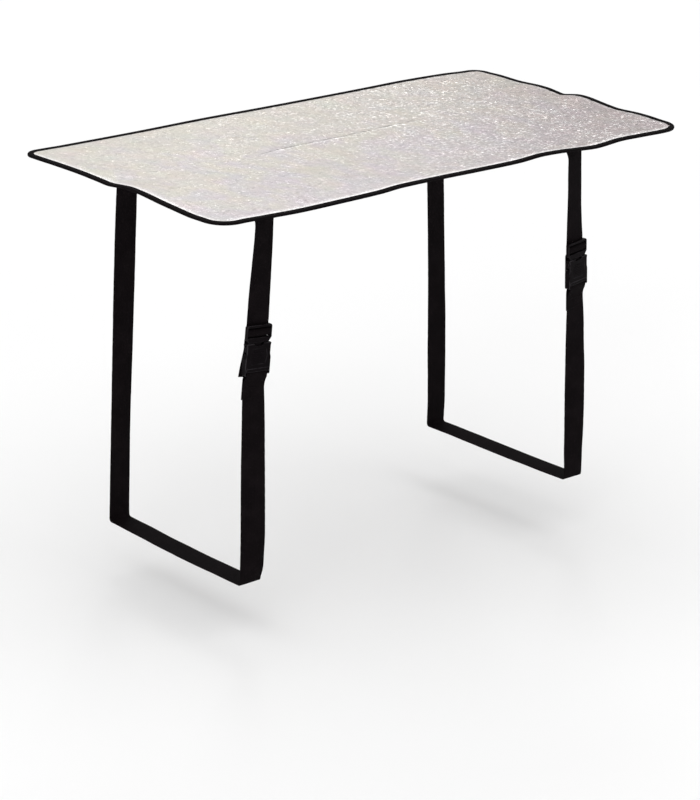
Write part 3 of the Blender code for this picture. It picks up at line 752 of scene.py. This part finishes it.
def in_buckle(strap, out, up, along=0.0):
    seat = buckle_frame(strap)
    return seat @ Vector((along, -out, up)), (seat.to_3x3() @ ACROSS).normalized()


def quarter_bend(x, centre, start):
    """Sections between the ends of a quarter turn round a centre (y, z), from a start in degrees."""
    sections = []
    for k in range(1, BEND_STEPS):
        angle = math.radians(start + 90 * k / BEND_STEPS)
        sections.append(square_section(x, centre[0] + BEND_RADIUS * math.cos(angle),
                                       centre[1] + BEND_RADIUS * math.sin(angle)))
    return sections


TAB_HEIGHT = TAB_LIFT - GAP - WEB_THICKNESS / 2
LADDER_REACH = (0.0204, 0.0366)   # heights between which the ladder's sides hold the webbing
LOOP_IN_SLOT = range(3, 10)       # the loop route's rows inside the lower slot
FRONT_STEP = 0.018
BELOW_STEP = 0.022
BEHIND_STEP = 0.030
FOOT_STAND = 0.0030
UNDER_SAG = 0.0008
UNDER_HALF_SPAN = 0.16


def upper_route(strap):
    """Tab under the sheet, fall to the buckle, turn through the ladder bars, and free end behind it."""
    top_row = strap["above"][0]
    x, fall_y = top_row[1], SPACE_FRONT - top_row[2]
    tab_end = fall_y + BEND_RADIUS + TAB_LENGTH
    sections = [square_section(x, y, TAB_HEIGHT)
                for y in (tab_end, tab_end - TAB_LENGTH / 2, fall_y + BEND_RADIUS)]
    sections += quarter_bend(x, (fall_y + BEND_RADIUS, TAB_HEIGHT - BEND_RADIUS), 90)
    table = (*strap["above"], buckle_row(strap, UPPER_ZONE, UPPER_STAND))
    sections += [fall_section(row) for row in rows_between(table, FRONT_STEP)]
    widths = [WEB_WIDTH] * len(sections)
    sections += [in_buckle(strap, out, up) for out, up in LADDER_ROUTE]
    low, high = LADDER_REACH
    widths += [WEB_IN_LADDER if low <= up <= high else WEB_WIDTH for _, up in LADDER_ROUTE]
    sections += [in_buckle(strap, -behind, up, -stray) for up, stray, behind in strap["tail"]]
    return sections, widths + [WEB_WIDTH] * len(strap["tail"])


def lower_route(strap):
    """Sewn loop round the lower bar, fall in front, run under, rise behind, and tab under the sheet."""
    sections = [in_buckle(strap, out, up) for out, up in LOOP_ROUTE]
    widths = [WEB_IN_LOOP if k in LOOP_IN_SLOT else WEB_WIDTH for k in range(len(LOOP_ROUTE))]
    table = (buckle_row(strap, -LOWER_ZONE, LOWER_STAND), *strap["below"])
    sections += [fall_section(row) for row in rows_between(table, BELOW_STEP)[1:]]
    foot_x, floor = strap["foot"]
    front_y = SPACE_FRONT - FOOT_STAND
    sections.append(square_section(foot_x, front_y, floor + BEND_RADIUS))
    sections += quarter_bend(foot_x, (front_y + BEND_RADIUS, floor + BEND_RADIUS), 180)
    sections.append(square_section(foot_x, front_y + BEND_RADIUS, floor))
    sections += [square_section(x, y, floor - UNDER_SAG * math.cos(y / UNDER_HALF_SPAN * math.pi / 2))
                 for y, x in strap["under"]]
    behind = strap["behind"]
    back_x, back_y = behind[0][1], SPACE_BACK + behind[0][2]
    sections.append(square_section(back_x, back_y - BEND_RADIUS, floor))
    sections += quarter_bend(back_x, (back_y - BEND_RADIUS, floor + BEND_RADIUS), 270)
    sections.append(square_section(back_x, back_y, floor + BEND_RADIUS))
    sections += [(Vector((x, SPACE_BACK + stand, height)), turned(turn))
                 for height, x, stand, turn in rows_between(behind, BEHIND_STEP)]
    x, rise_y = behind[-1][1], SPACE_BACK + behind[-1][2]
    sections.append(square_section(x, rise_y, TAB_HEIGHT - BEND_RADIUS))
    sections += quarter_bend(x, (rise_y - BEND_RADIUS, TAB_HEIGHT - BEND_RADIUS), 0)
    sections += [square_section(x, rise_y - BEND_RADIUS - TAB_LENGTH * part, TAB_HEIGHT)
                 for part in (0.0, 0.5, 1.0)]
    return sections, widths + [WEB_WIDTH] * (len(sections) - len(widths))


# Half section of the webbing: share of the half width, share of the half thickness
WEB_PROFILE = ((1.0, 0.0), (0.996, 0.55), (0.982, 0.88), (0.955, 1.0), (0.925, 0.97), (0.895, 0.80),
               (0.86, 0.84), (0.65, 0.90), (0.35, 0.93), (0.0, 0.94))
SELVEDGE = {"height": 0.00022, "size": 0.009}
SLACK = {"height": 0.00045, "size": 0.045}
SETTLING = 0.03            # run in which held webbing comes loose
TAB_HOLD = 0.07            # reach of a tab's and of a buckle's hold on the webbing
BUCKLE_HOLD = 0.10


def even_sections(sections, widths):
    """The route read at even steps along it: distance run, middle, across direction and width."""
    run, rows = 0.0, []
    for k, (middle, across) in enumerate(sections):
        if k:
            run += (middle - sections[k - 1][0]).length
        rows.append((run, *middle, *across, widths[k]))
    count = round(run / WEB_STEP)
    result = []
    for k in range(count + 1):
        place = run * k / count
        x, y, z, ax, ay, az, width = read_table(rows, place)
        result.append((place, Vector((x, y, z)), Vector((ax, ay, az)), width))
    return result


def web_axes(stations, k):
    """Directions across and out of the webbing at one of its stations."""
    before, after = stations[max(k - 1, 0)][1], stations[min(k + 1, len(stations) - 1)][1]
    across, along = stations[k][2], (after - before).normalized()
    side = (across - along * across.dot(along)).normalized()
    return side, along.cross(side).normalized()


def make_webbing(name, route, seed, calm, material):
    """Webbing swept along its route, uneven except within reach of the places that hold it calm."""
    stations = even_sections(*route)
    section = [*WEB_PROFILE, *((-u, h) for u, h in reversed(WEB_PROFILE[:-1]))]
    section += [(-u, -h) for u, h in WEB_PROFILE[1:]] + [(u, -h) for u, h in reversed(WEB_PROFILE[1:-1])]
    points = []
    for k, (run, middle, _, width) in enumerate(stations):
        side, out = web_axes(stations, k)
        loose = min(smooth_step(0.0, SETTLING, abs(run - place) - reach) for place, reach in calm)
        for u, h in section:
            fray = noise.noise(Vector((run / SELVEDGE["size"], seed + 7.0 * (u > 0), 0.0)))
            swell = noise.noise(Vector((run / SLACK["size"], u * 0.7, seed)))
            half = width / 2 + (SELVEDGE["height"] * fray * loose if abs(u) > 0.9 else 0.0)
            lift = h * WEB_THICKNESS / 2 + SLACK["height"] * swell * loose
            points.append(middle + side * (u * half) + out * lift)
    places, runs = [u * WEB_WIDTH / 2 for u, _ in section], [station[0] for station in stations]
    faces, flat = swept_faces(places, runs, len(stations))
    faces += [tuple(reversed(range(len(section)))), tuple(range(len(points) - len(section), len(points)))]
    flat += [[(place, 0.0) for place in reversed(places)], [(place, runs[-1]) for place in places]]
    web = add_piece(name, points, faces, material)
    map_cloth(web, flat)
    web.data.set_sharp_from_angle(angle=math.radians(75))
    return web, stations


# Stitches, laid along paths by Geometry Nodes

def stitch_tree(material):
    """Stitches set at an even pitch along a wire: each is a slim rounded bar turned to its direction."""
    tree = bpy.data.node_groups.new("Stitches along a path", "GeometryNodeTree")
    face = tree.interface
    face.new_socket("Path", in_out="INPUT", socket_type="NodeSocketGeometry")
    for name, value in (("Pitch", STITCH_PITCH), ("Stitch length", 0.0031), ("Thread width", 0.0006),
                        ("Sway", 0.10)):
        face.new_socket(name, in_out="INPUT", socket_type="NodeSocketFloat").default_value = value
    face.new_socket("Seed", in_out="INPUT", socket_type="NodeSocketInt").default_value = 3
    face.new_socket("Stitches", in_out="OUTPUT", socket_type="NodeSocketGeometry")

    def add(kind, inputs=None, **settings):
        made = tree.nodes.new(kind)
        for key, value in settings.items():
            setattr(made, key, value)
        for key, value in (inputs or {}).items():
            made.inputs[key].default_value = value
        return made

    given, made = add("NodeGroupInput"), add("NodeGroupOutput")
    wire = add("GeometryNodeMeshToCurve")
    even = add("GeometryNodeResampleCurve", mode="LENGTH")
    bar = add("GeometryNodeMeshUVSphere", {"Segments": 6, "Rings": 5, "Radius": 0.5})
    size = add("ShaderNodeCombineXYZ")
    shaped = add("GeometryNodeTransform")
    heading = add("GeometryNodeInputTangent")
    sway = add("FunctionNodeRandomValue", {"Min": (-1.0, -1.0, -0.3), "Max": (1.0, 1.0, 0.3)},
               data_type="FLOAT_VECTOR")
    lean = add("ShaderNodeVectorMath", operation="SCALE")
    turned_to = add("ShaderNodeVectorMath", operation="ADD")
    aim = add("FunctionNodeAlignRotationToVector", axis="X")
    lay = add("GeometryNodeInstanceOnPoints")
    real = add("GeometryNodeRealizeInstances")
    round_off = add("GeometryNodeSetShadeSmooth")
    colour = add("GeometryNodeSetMaterial", {"Material": material})
    for source, output, target, name in (
            (given, "Seed", sway, "Seed"), (sway, 0, lean, 0), (given, "Sway", lean, "Scale"),
            (heading, 0, turned_to, 0), (lean, 0, turned_to, 1), (turned_to, 0, aim, "Vector"),
            (given, "Path", wire, "Mesh"), (wire, "Curve", even, "Curve"), (given, "Pitch", even, "Length"),
            (given, "Stitch length", size, "X"), (given, "Thread width", size, "Y"),
            (given, "Thread width", size, "Z"), (bar, "Mesh", shaped, "Geometry"),
            (size, 0, shaped, "Scale"), (even, "Curve", lay, "Points"),
            (shaped, "Geometry", lay, "Instance"), (aim, "Rotation", lay, "Rotation"),
            (lay, "Instances", real, "Geometry"), (real, "Geometry", round_off, "Geometry"),
            (round_off, "Geometry", colour, "Geometry"), (colour, "Geometry", made, "Stitches")):
        tree.links.new(source.outputs[output], target.inputs[name])
    return tree


def sew(name, paths, tree, slot, **sizes):
    """Stitches along one or more paths, each a list of points and whether it closes on itself."""
    points, edges = [], []
    for path, closed in paths:
        first = len(points)
        points += path
        edges += [(first + k, first + k + 1) for k in range(len(path) - 1)]
        if closed:
            edges.append((len(points) - 1, first))
    wire = bpy.data.meshes.new(name + "_path")
    wire.from_pydata([tuple(p) for p in points], edges, [])
    guide = add_object(name, wire)
    laying = guide.modifiers.new("Stitches", "NODES")
    laying.node_group = tree
    for socket in tree.interface.items_tree:
        if socket.in_out == "INPUT" and socket.name.replace(" ", "_") in sizes:
            laying[socket.identifier] = sizes[socket.name.replace(" ", "_")]
    bpy.context.view_layer.update()
    solid = bpy.data.meshes.new_from_object(guide.evaluated_get(bpy.context.evaluated_depsgraph_get()))
    guide.modifiers.remove(laying)
    guide.data = solid
    bpy.data.meshes.remove(wire)
    return wear(guide, slot)


# Buckles, in millimetres of their own axes: X across, Y to the back, Z up, rear plane at y = 0

MM_IN_METRE = 1000
ROUNDING_STEPS = 4
SLOT = 20.8
HALF = 23.0
TOP = 39.0
BOTTOM = -39.0
FRONT = -10.6
MOUTH = 11.0
CAVITY = 19.9
# Right halves of the outlines, from the bottom up: x, z, corner radius
LADDER_OUTLINE = ((17.8, 12.0, 0.8), (20.4, 15.0, 1.0), (HALF, 18.5, 1.6), (HALF, 36.8, 1.8),
                  (HALF - 2.2, TOP, 1.8))
PRONG_OUTLINE = ((4.0, -14.0, 1.2), (5.0, 11.0, 0.3), (12.5, 11.0, 0.8), (15.4, 6.0, 1.5),
                 (15.4, -6.6, 0.6), (18.4, -6.6, 1.0), (22.4, -0.4, 1.6), (22.4, 6.2, 1.4),
                 (18.8, 8.4, 0.8), (17.4, 15.0, 0.3))
SOCKET_OUTLINE = ((HALF - 1.6, BOTTOM, 1.6), (HALF, BOTTOM + 1.6, 1.6), (HALF, -12.0, 3.0),
                  (21.7, -7.0, 3.0), (21.7, 6.0, 3.0), (22.7, MOUTH, 1.6))
LIP_OUTLINE = ((20.9, -32.9, 1.0), (20.9, -27.6, 1.4))
PANEL_OUTLINE = ((13.0, -21.5, 3.0), (16.0, -9.0, 9.0), (13.0, 3.0, 3.0))
SCOOP_OUTLINE = ((8.5, 7.2, 5.0), (8.5, 17.0, 0.5))
# What is cut from each half: name, lowest and highest corner, corner radius
LADDER_CUTS = (("upper_slot", (-SLOT, -12.0, 29.5), (SLOT, 1.0, 35.6), 1.0),
               ("lower_slot", (-SLOT, -12.0, 19.5), (SLOT, 1.0, 25.5), 1.0),
               ("over_bar", (-SLOT, -12.0, 24.0), (SLOT, -6.8, 31.0), 0.1),
               ("under_bar", (-SLOT, -3.5, 24.0), (SLOT, 1.0, 31.0), 0.1))
SOCKET_CUTS = (("cavity", (-CAVITY, -8.3, -17.0), (CAVITY, -2.6, 14.0), 0.6),
               ("windows", (-26.0, -8.3, -5.0), (26.0, -2.6, 8.2), 0.1),
               ("loop_slot", (-SLOT, -14.0, -35.2), (SLOT, 2.0, -31.2), 1.0),
               ("loop_front", (-SLOT, -14.0, -42.0), (SLOT, -7.8, -33.0), 0.1),
               ("loop_back", (-SLOT, -3.7, -42.0), (SLOT, 2.0, -33.0), 0.1))
GRIP = {"count": 7, "pitch": 2.9, "middle": (0.0, FRONT + 0.60, -9.2), "half_width": 12.6,
        "height": 0.75, "depth": 0.55, "taper": 0.30}


def mirrored(rows):
    """Rows (x, z, corner radius) of an outline from those of its right half, listed from the bottom up."""
    return [*rows, *((-x, z, radius) for x, z, radius in reversed(rows))]


def drawn_in(rows, distance):
    """The outline's rows with every side moved inwards by a distance."""
    moved = []
    for k, (x, z, radius) in enumerate(rows):
        here = Vector((x, z))
        before = (here - Vector(rows[k - 1][:2])).normalized()
        after = (Vector(rows[(k + 1) % len(rows)][:2]) - here).normalized()
        inwards = Vector((-before.y - after.y, before.x + after.x)) / (1 + before.dot(after))
        here += inwards * distance
        bulges = before.x * after.y - before.y * after.x > 0
        moved.append((here.x, here.y, max(radius - distance, 0.15) if bulges else radius + distance))
    return moved


def filleted(rows):
    """Points (x, z) of an outline whose corners are rounded by each row's radius."""
    points = []
    for k, (x, z, radius) in enumerate(rows):
        here = Vector((x, z))
        to_before, to_after = Vector(rows[k - 1][:2]) - here, Vector(rows[(k + 1) % len(rows)][:2]) - here
        angle = to_before.angle(to_after)
        reach = min(radius / math.tan(angle / 2), to_before.length * 0.48, to_after.length * 0.48)
        start, end = here + to_before.normalized() * reach, here + to_after.normalized() * reach
        steps = max(2, round(math.degrees(math.pi - angle) / 15))
        for i in range(steps + 1):
            t = i / steps
            points.append((1 - t) ** 2 * start + 2 * t * (1 - t) * here + t * t * end)
    return points


def smooth_mesh(name, shape):
    """A smoothly shaded mesh of a shape, which is used up."""
    mesh = bpy.data.meshes.new(name)
    shape.to_mesh(mesh)
    shape.free()
    mesh.shade_smooth()
    return mesh


def plate(name, rows, front, back, rounding=0.0):
    """A flat outline given its thickness from front to back, its long edges rounded, in millimetres."""
    rings = []
    for k in range(ROUNDING_STEPS + 1 if rounding else 1):
        angle = math.pi / 2 * k / ROUNDING_STEPS
        rings.append((rounding * (1 - math.sin(angle)), rounding * (1 - math.cos(angle))))
    layers = [(front + deep, drawn) for drawn, deep in rings]
    layers += [(back - deep, drawn) for drawn, deep in reversed(rings)]
    shape = bmesh.new()
    loops = []
    for y, drawn in layers:
        outline = [(x / MM_IN_METRE, y / MM_IN_METRE, z / MM_IN_METRE)
                   for x, z in filleted(drawn_in(rows, drawn))]
        loops.append([shape.verts.new(point) for point in outline])
    shape.faces.new(loops[0])
    shape.faces.new(loops[-1][::-1])
    for near, far in zip(loops, loops[1:]):
        for k in range(len(near)):
            after = (k + 1) % len(near)
            shape.faces.new((near[k], far[k], far[after], near[after]))
    bmesh.ops.recalc_face_normals(shape, faces=shape.faces)
    return add_object(name, smooth_mesh(name, shape))


def round_edges(thing, width):
    rounding = thing.modifiers.new("Rounded edges", "BEVEL")
    rounding.width = width / MM_IN_METRE
    rounding.segments = 2
    rounding.limit_method = "ANGLE"
    rounding.angle_limit = math.radians(55)
    rounding.use_clamp_overlap = False


def block(name, low, high, radius):
    """A box between two corners, the edges that run from front to back rounded."""
    rows = ((low[0], low[2], radius), (high[0], low[2], radius), (high[0], high[2], radius),
            (low[0], high[2], radius))
    return plate(name, rows, low[1], high[1])


def combine(thing, tool, operation):
    """One exact Boolean step; the tool's mesh is used up at the end."""
    tool.hide_render = True
    step = thing.modifiers.new(tool.name, "BOOLEAN")
    step.operation = operation
    step.solver = "EXACT"
    step.object = tool
    return tool


def settle(thing, tools):
    """The object's mesh with its modifiers applied; the object and its tools are removed."""
    weighted = thing.modifiers.new("Even shading", "WEIGHTED_NORMAL")
    weighted.keep_sharp = True
    bpy.context.view_layer.update()
    mesh = bpy.data.meshes.new_from_object(thing.evaluated_get(bpy.context.evaluated_depsgraph_get()))
    for used in (thing, *tools):
        bpy.data.objects.remove(used, do_unlink=True)
    # Share of the painted highlight on rounded edges, highest where the normal turns halfway from front to
    # side
    forward = [corner.vector.y ** 2 for corner in mesh.corner_normals]
    worn = [4 * share * (1 - share) for share in forward]
    mesh.attributes.new(EDGE_HIGHLIGHT, "FLOAT", "CORNER").data.foreach_set("value", worn)
    return mesh


def cut_out(body, cuts):
    return [combine(body, block(*cut), "DIFFERENCE") for cut in cuts]


def prong_mesh():
    """Ladder frame with its middle bar, guide tongue and two sprung prongs."""
    body = plate("prongs", mirrored(LADDER_OUTLINE), -8.7, -2.5, 0.7)
    tines = plate("tines", mirrored(PRONG_OUTLINE), -7.8, -3.1, 0.6)
    tools = [combine(body, tines, "UNION"), *cut_out(body, LADDER_CUTS)]
    round_edges(body, 0.40)
    return settle(body, tools)


def socket_mesh():
    """Hollow body with its mouth, side windows, lower bar and lip, sunk grip panel and thumb scoop."""
    body = plate("socket", mirrored(SOCKET_OUTLINE), FRONT, 0.0, 1.3)
    tools = cut_out(body, SOCKET_CUTS)
    panel = plate("sunk_panel", mirrored(PANEL_OUTLINE), FRONT - 2.0, FRONT + 0.6)
    scoop = plate("thumb_scoop", mirrored(SCOOP_OUTLINE), FRONT - 2.0, -7.9)
    tools += [combine(body, panel, "DIFFERENCE"), combine(body, scoop, "DIFFERENCE")]
    lip = plate("lower_lip", mirrored(LIP_OUTLINE), FRONT - 0.8, FRONT + 1.0, 0.7)
    tools.append(combine(body, lip, "UNION"))
    round_edges(body, 0.28)
    return settle(body, tools)


def rib_row(name, count, pitch, middle, half_width, height, depth, taper):
    """Slim rounded bars one above another, each a little narrower away from the middle, as one mesh."""
    shape = bmesh.new()
    for k in range(count):
        up = (k - (count - 1) / 2) * pitch
        wide = half_width * (1 - taper * (abs(up) / (count * pitch / 2)) ** 2)
        made = bmesh.ops.create_uvsphere(shape, u_segments=12, v_segments=8, radius=1.0)["verts"]
        for vert in made:
            round_x = math.copysign(abs(vert.co.x) ** 0.35, vert.co.x)
            vert.co = Vector((middle[0] + wide * round_x, middle[1] + depth * vert.co.y,
                              middle[2] + up + height * vert.co.z)) / MM_IN_METRE
    return smooth_mesh(name, shape)


def place_in_buckle(name, mesh, strap, plastic, *nodes):
    copy = mesh.copy()
    copy.name = name
    copy.materials.clear()
    copy.materials.append(plastic)
    copy.transform(buckle_frame(strap))
    wear(add_object(name, copy), "buckle_plastic", *nodes)


# Stage: floor, light and camera

FLOOR_HEIGHT = -0.700
FLOOR_HALF = 14.0
CAMERA = {"place": (-3.1111, -3.4290, 1.2229), "heading": 42.10, "pitch": 19.004, "roll": 1.961,
          "lens": 136.0, "shift": (0.0022, -0.0463)}
SKY_STRENGTH = 0.70
# Heading, height, strength and spread of each light
LIGHTS = {"overhead": (-35.0, 80.0, 1.05, 80.0), "front_left": (-58.0, 30.0, 0.24, 20.0),
          "back_right": (138.0, 36.0, 0.22, 14.0)}


def make_camera():
    lens = bpy.data.cameras.new("camera")
    lens.sensor_width = 36.0
    lens.lens = CAMERA["lens"]
    lens.shift_x, lens.shift_y = CAMERA["shift"]
    camera = add_object("camera", lens)
    aim = spin(-CAMERA["heading"], "Z") @ spin(90 - CAMERA["pitch"], "X") @ spin(CAMERA["roll"], "Z")
    camera.matrix_world = Matrix.Translation(CAMERA["place"]) @ aim
    bpy.context.scene.camera = camera


def make_floor():
    corners = ((-1, -1), (1, -1), (1, 1), (-1, 1))
    points = [(x * FLOOR_HALF, y * FLOOR_HALF, FLOOR_HEIGHT) for x, y in corners]
    floor = add_piece("floor", points, [(0, 1, 2, 3)], floor_finish(), smooth=False)


def soft_light(name, heading, height, strength, spread):
    """Even light from one side of the studio, its angles and its spread in degrees."""
    light = bpy.data.lights.new(name, "SUN")
    light.energy = strength
    light.angle = math.radians(spread)
    add_object(name, light).rotation_euler = (math.radians(90 - height), 0.0, math.radians(heading))


def make_light():
    world = bpy.data.worlds.new("studio")
    world.use_nodes = True
    sky = world.node_tree.nodes["Background"]
    sky.inputs["Color"].default_value = (1.0, 1.0, 1.0, 1.0)
    sky.inputs["Strength"].default_value = SKY_STRENGTH
    bpy.context.scene.world = world
    for name, numbers in LIGHTS.items():
        soft_light(name, *numbers)
    bpy.context.scene.view_settings.view_transform = "Standard"


# Sewing on the webbing: how far it stays inside the edges, where the loop's bars lie, and thread height
TAB_SEAM_SIDE = 0.0032
TAB_SEAM_END = 0.0035
BAR_END = 0.003
LOOP_BARS = (0.078, 0.094)
THREAD_PROUD = 0.0001
TAB_STITCH = {"Pitch": 0.0034, "Stitch_length": 0.0027}
LOOP_STITCH = {"Pitch": 0.0026, "Stitch_length": 0.0022}


def tab_box(x, y_near, y_far, height):
    """Sewn box with its two diagonals on the underside of a tab."""
    half = WEB_WIDTH / 2 - TAB_SEAM_SIDE
    low, high = min(y_near, y_far) + TAB_SEAM_END, max(y_near, y_far) - TAB_SEAM_END
    corners = [Vector((x - half, low, height)), Vector((x + half, low, height)),
               Vector((x + half, high, height)), Vector((x - half, high, height))]
    return [(corners, True), ([corners[0], corners[2]], False), ([corners[1], corners[3]], False)]


def sew_tab(name, end, inward, stitches):
    """Box of stitches on the tab that ends at one place and runs inward from it."""
    far = end + inward * TAB_LENGTH
    box = tab_box(end.x, end.y, far.y, end.z - WEB_THICKNESS / 2 - THREAD_PROUD)
    return sew(name, box, stitches, "webbing", **TAB_STITCH)


def loop_seams(stations, bars, lift):
    """Bars of stitching across the webbing at places along it, just proud of its outer face."""
    paths = []
    for target in bars:
        k = min(range(1, len(stations) - 1), key=lambda i: abs(stations[i][0] - target))
        _, middle, _, width = stations[k]
        side, out = web_axes(stations, k)
        half = width / 2 - BAR_END
        paths.append(([middle - side * half + out * lift, middle + side * half + out * lift], False))
    return paths


def route_length(route):
    sections = route[0]
    return sum((b[0] - a[0]).length for a, b in zip(sections, sections[1:]))


def dress_panel(stitches):
    """The foil sheet, its binding and the binding's two rows of stitches."""
    sheet, sheet_flat = make_foil_sheet(foil_finish())
    rim = rim_stations(TAPE_STEP)
    tape, tape_flat = make_tape(rim, tape_finish())
    for name, height in (("tape_seam_top", TAPE_TOP + SEAM_PROUD),
                         ("tape_seam_under", -GAP - TAPE_THICKNESS - SEAM_PROUD)):
        path = [tape_place(station, STITCH_INSET, height) for station in rim]
        sew(name, [(path, True)], stitches, "binding_tape")


def dress_webbing(side, strap, seed, webbing, stitches):
    """Both lengths of one strap's webbing, with the sewing of their tabs and of the lower loop."""
    route = upper_route(strap)
    upper, upper_run = make_webbing(side + "_webbing_upper", route, 11.0 + seed,
                                    ((0.0, TAB_HOLD), (route_length(route), BUCKLE_HOLD)), webbing)
    route = lower_route(strap)
    lower, lower_run = make_webbing(side + "_webbing_lower", route, 31.0 + seed,
                                    ((0.0, BUCKLE_HOLD), (route_length(route), TAB_HOLD)), webbing)
    wear(upper, "webbing", side + "_strap_upper")
    wear(lower, "webbing", side + "_strap_lower")
    for name, run, end, after in (("upper", upper_run, 0, 1), ("lower", lower_run, -1, -2)):
        inward = (run[after][1] - run[end][1]).normalized()
        sew_tab(f"{side}_tab_seam_{name}", run[end][1], inward, stitches)
    loop = sew(side + "_loop_seam", loop_seams(lower_run, LOOP_BARS, WEB_THICKNESS / 2 + THREAD_PROUD),
               stitches, "webbing", **LOOP_STITCH)


def main():
    make_camera()
    make_floor()
    make_light()
    stitches = stitch_tree(thread_finish())
    webbing, plastic = webbing_finish(), buckle_finish()
    dress_panel(stitches)
    prongs, socket, grip = prong_mesh(), socket_mesh(), rib_row("grip_ribs", **GRIP)
    for seed, (side, strap) in enumerate(STRAPS.items()):
        dress_webbing(side, strap, seed, webbing, stitches)
        for half, mesh in (("prongs", prongs), ("socket", socket)):
            place_in_buckle(f"{side}_{half}", mesh, strap, plastic, f"{side}_buckle_{half}")
        place_in_buckle(side + "_grip_ribs", grip, strap, plastic)


main()
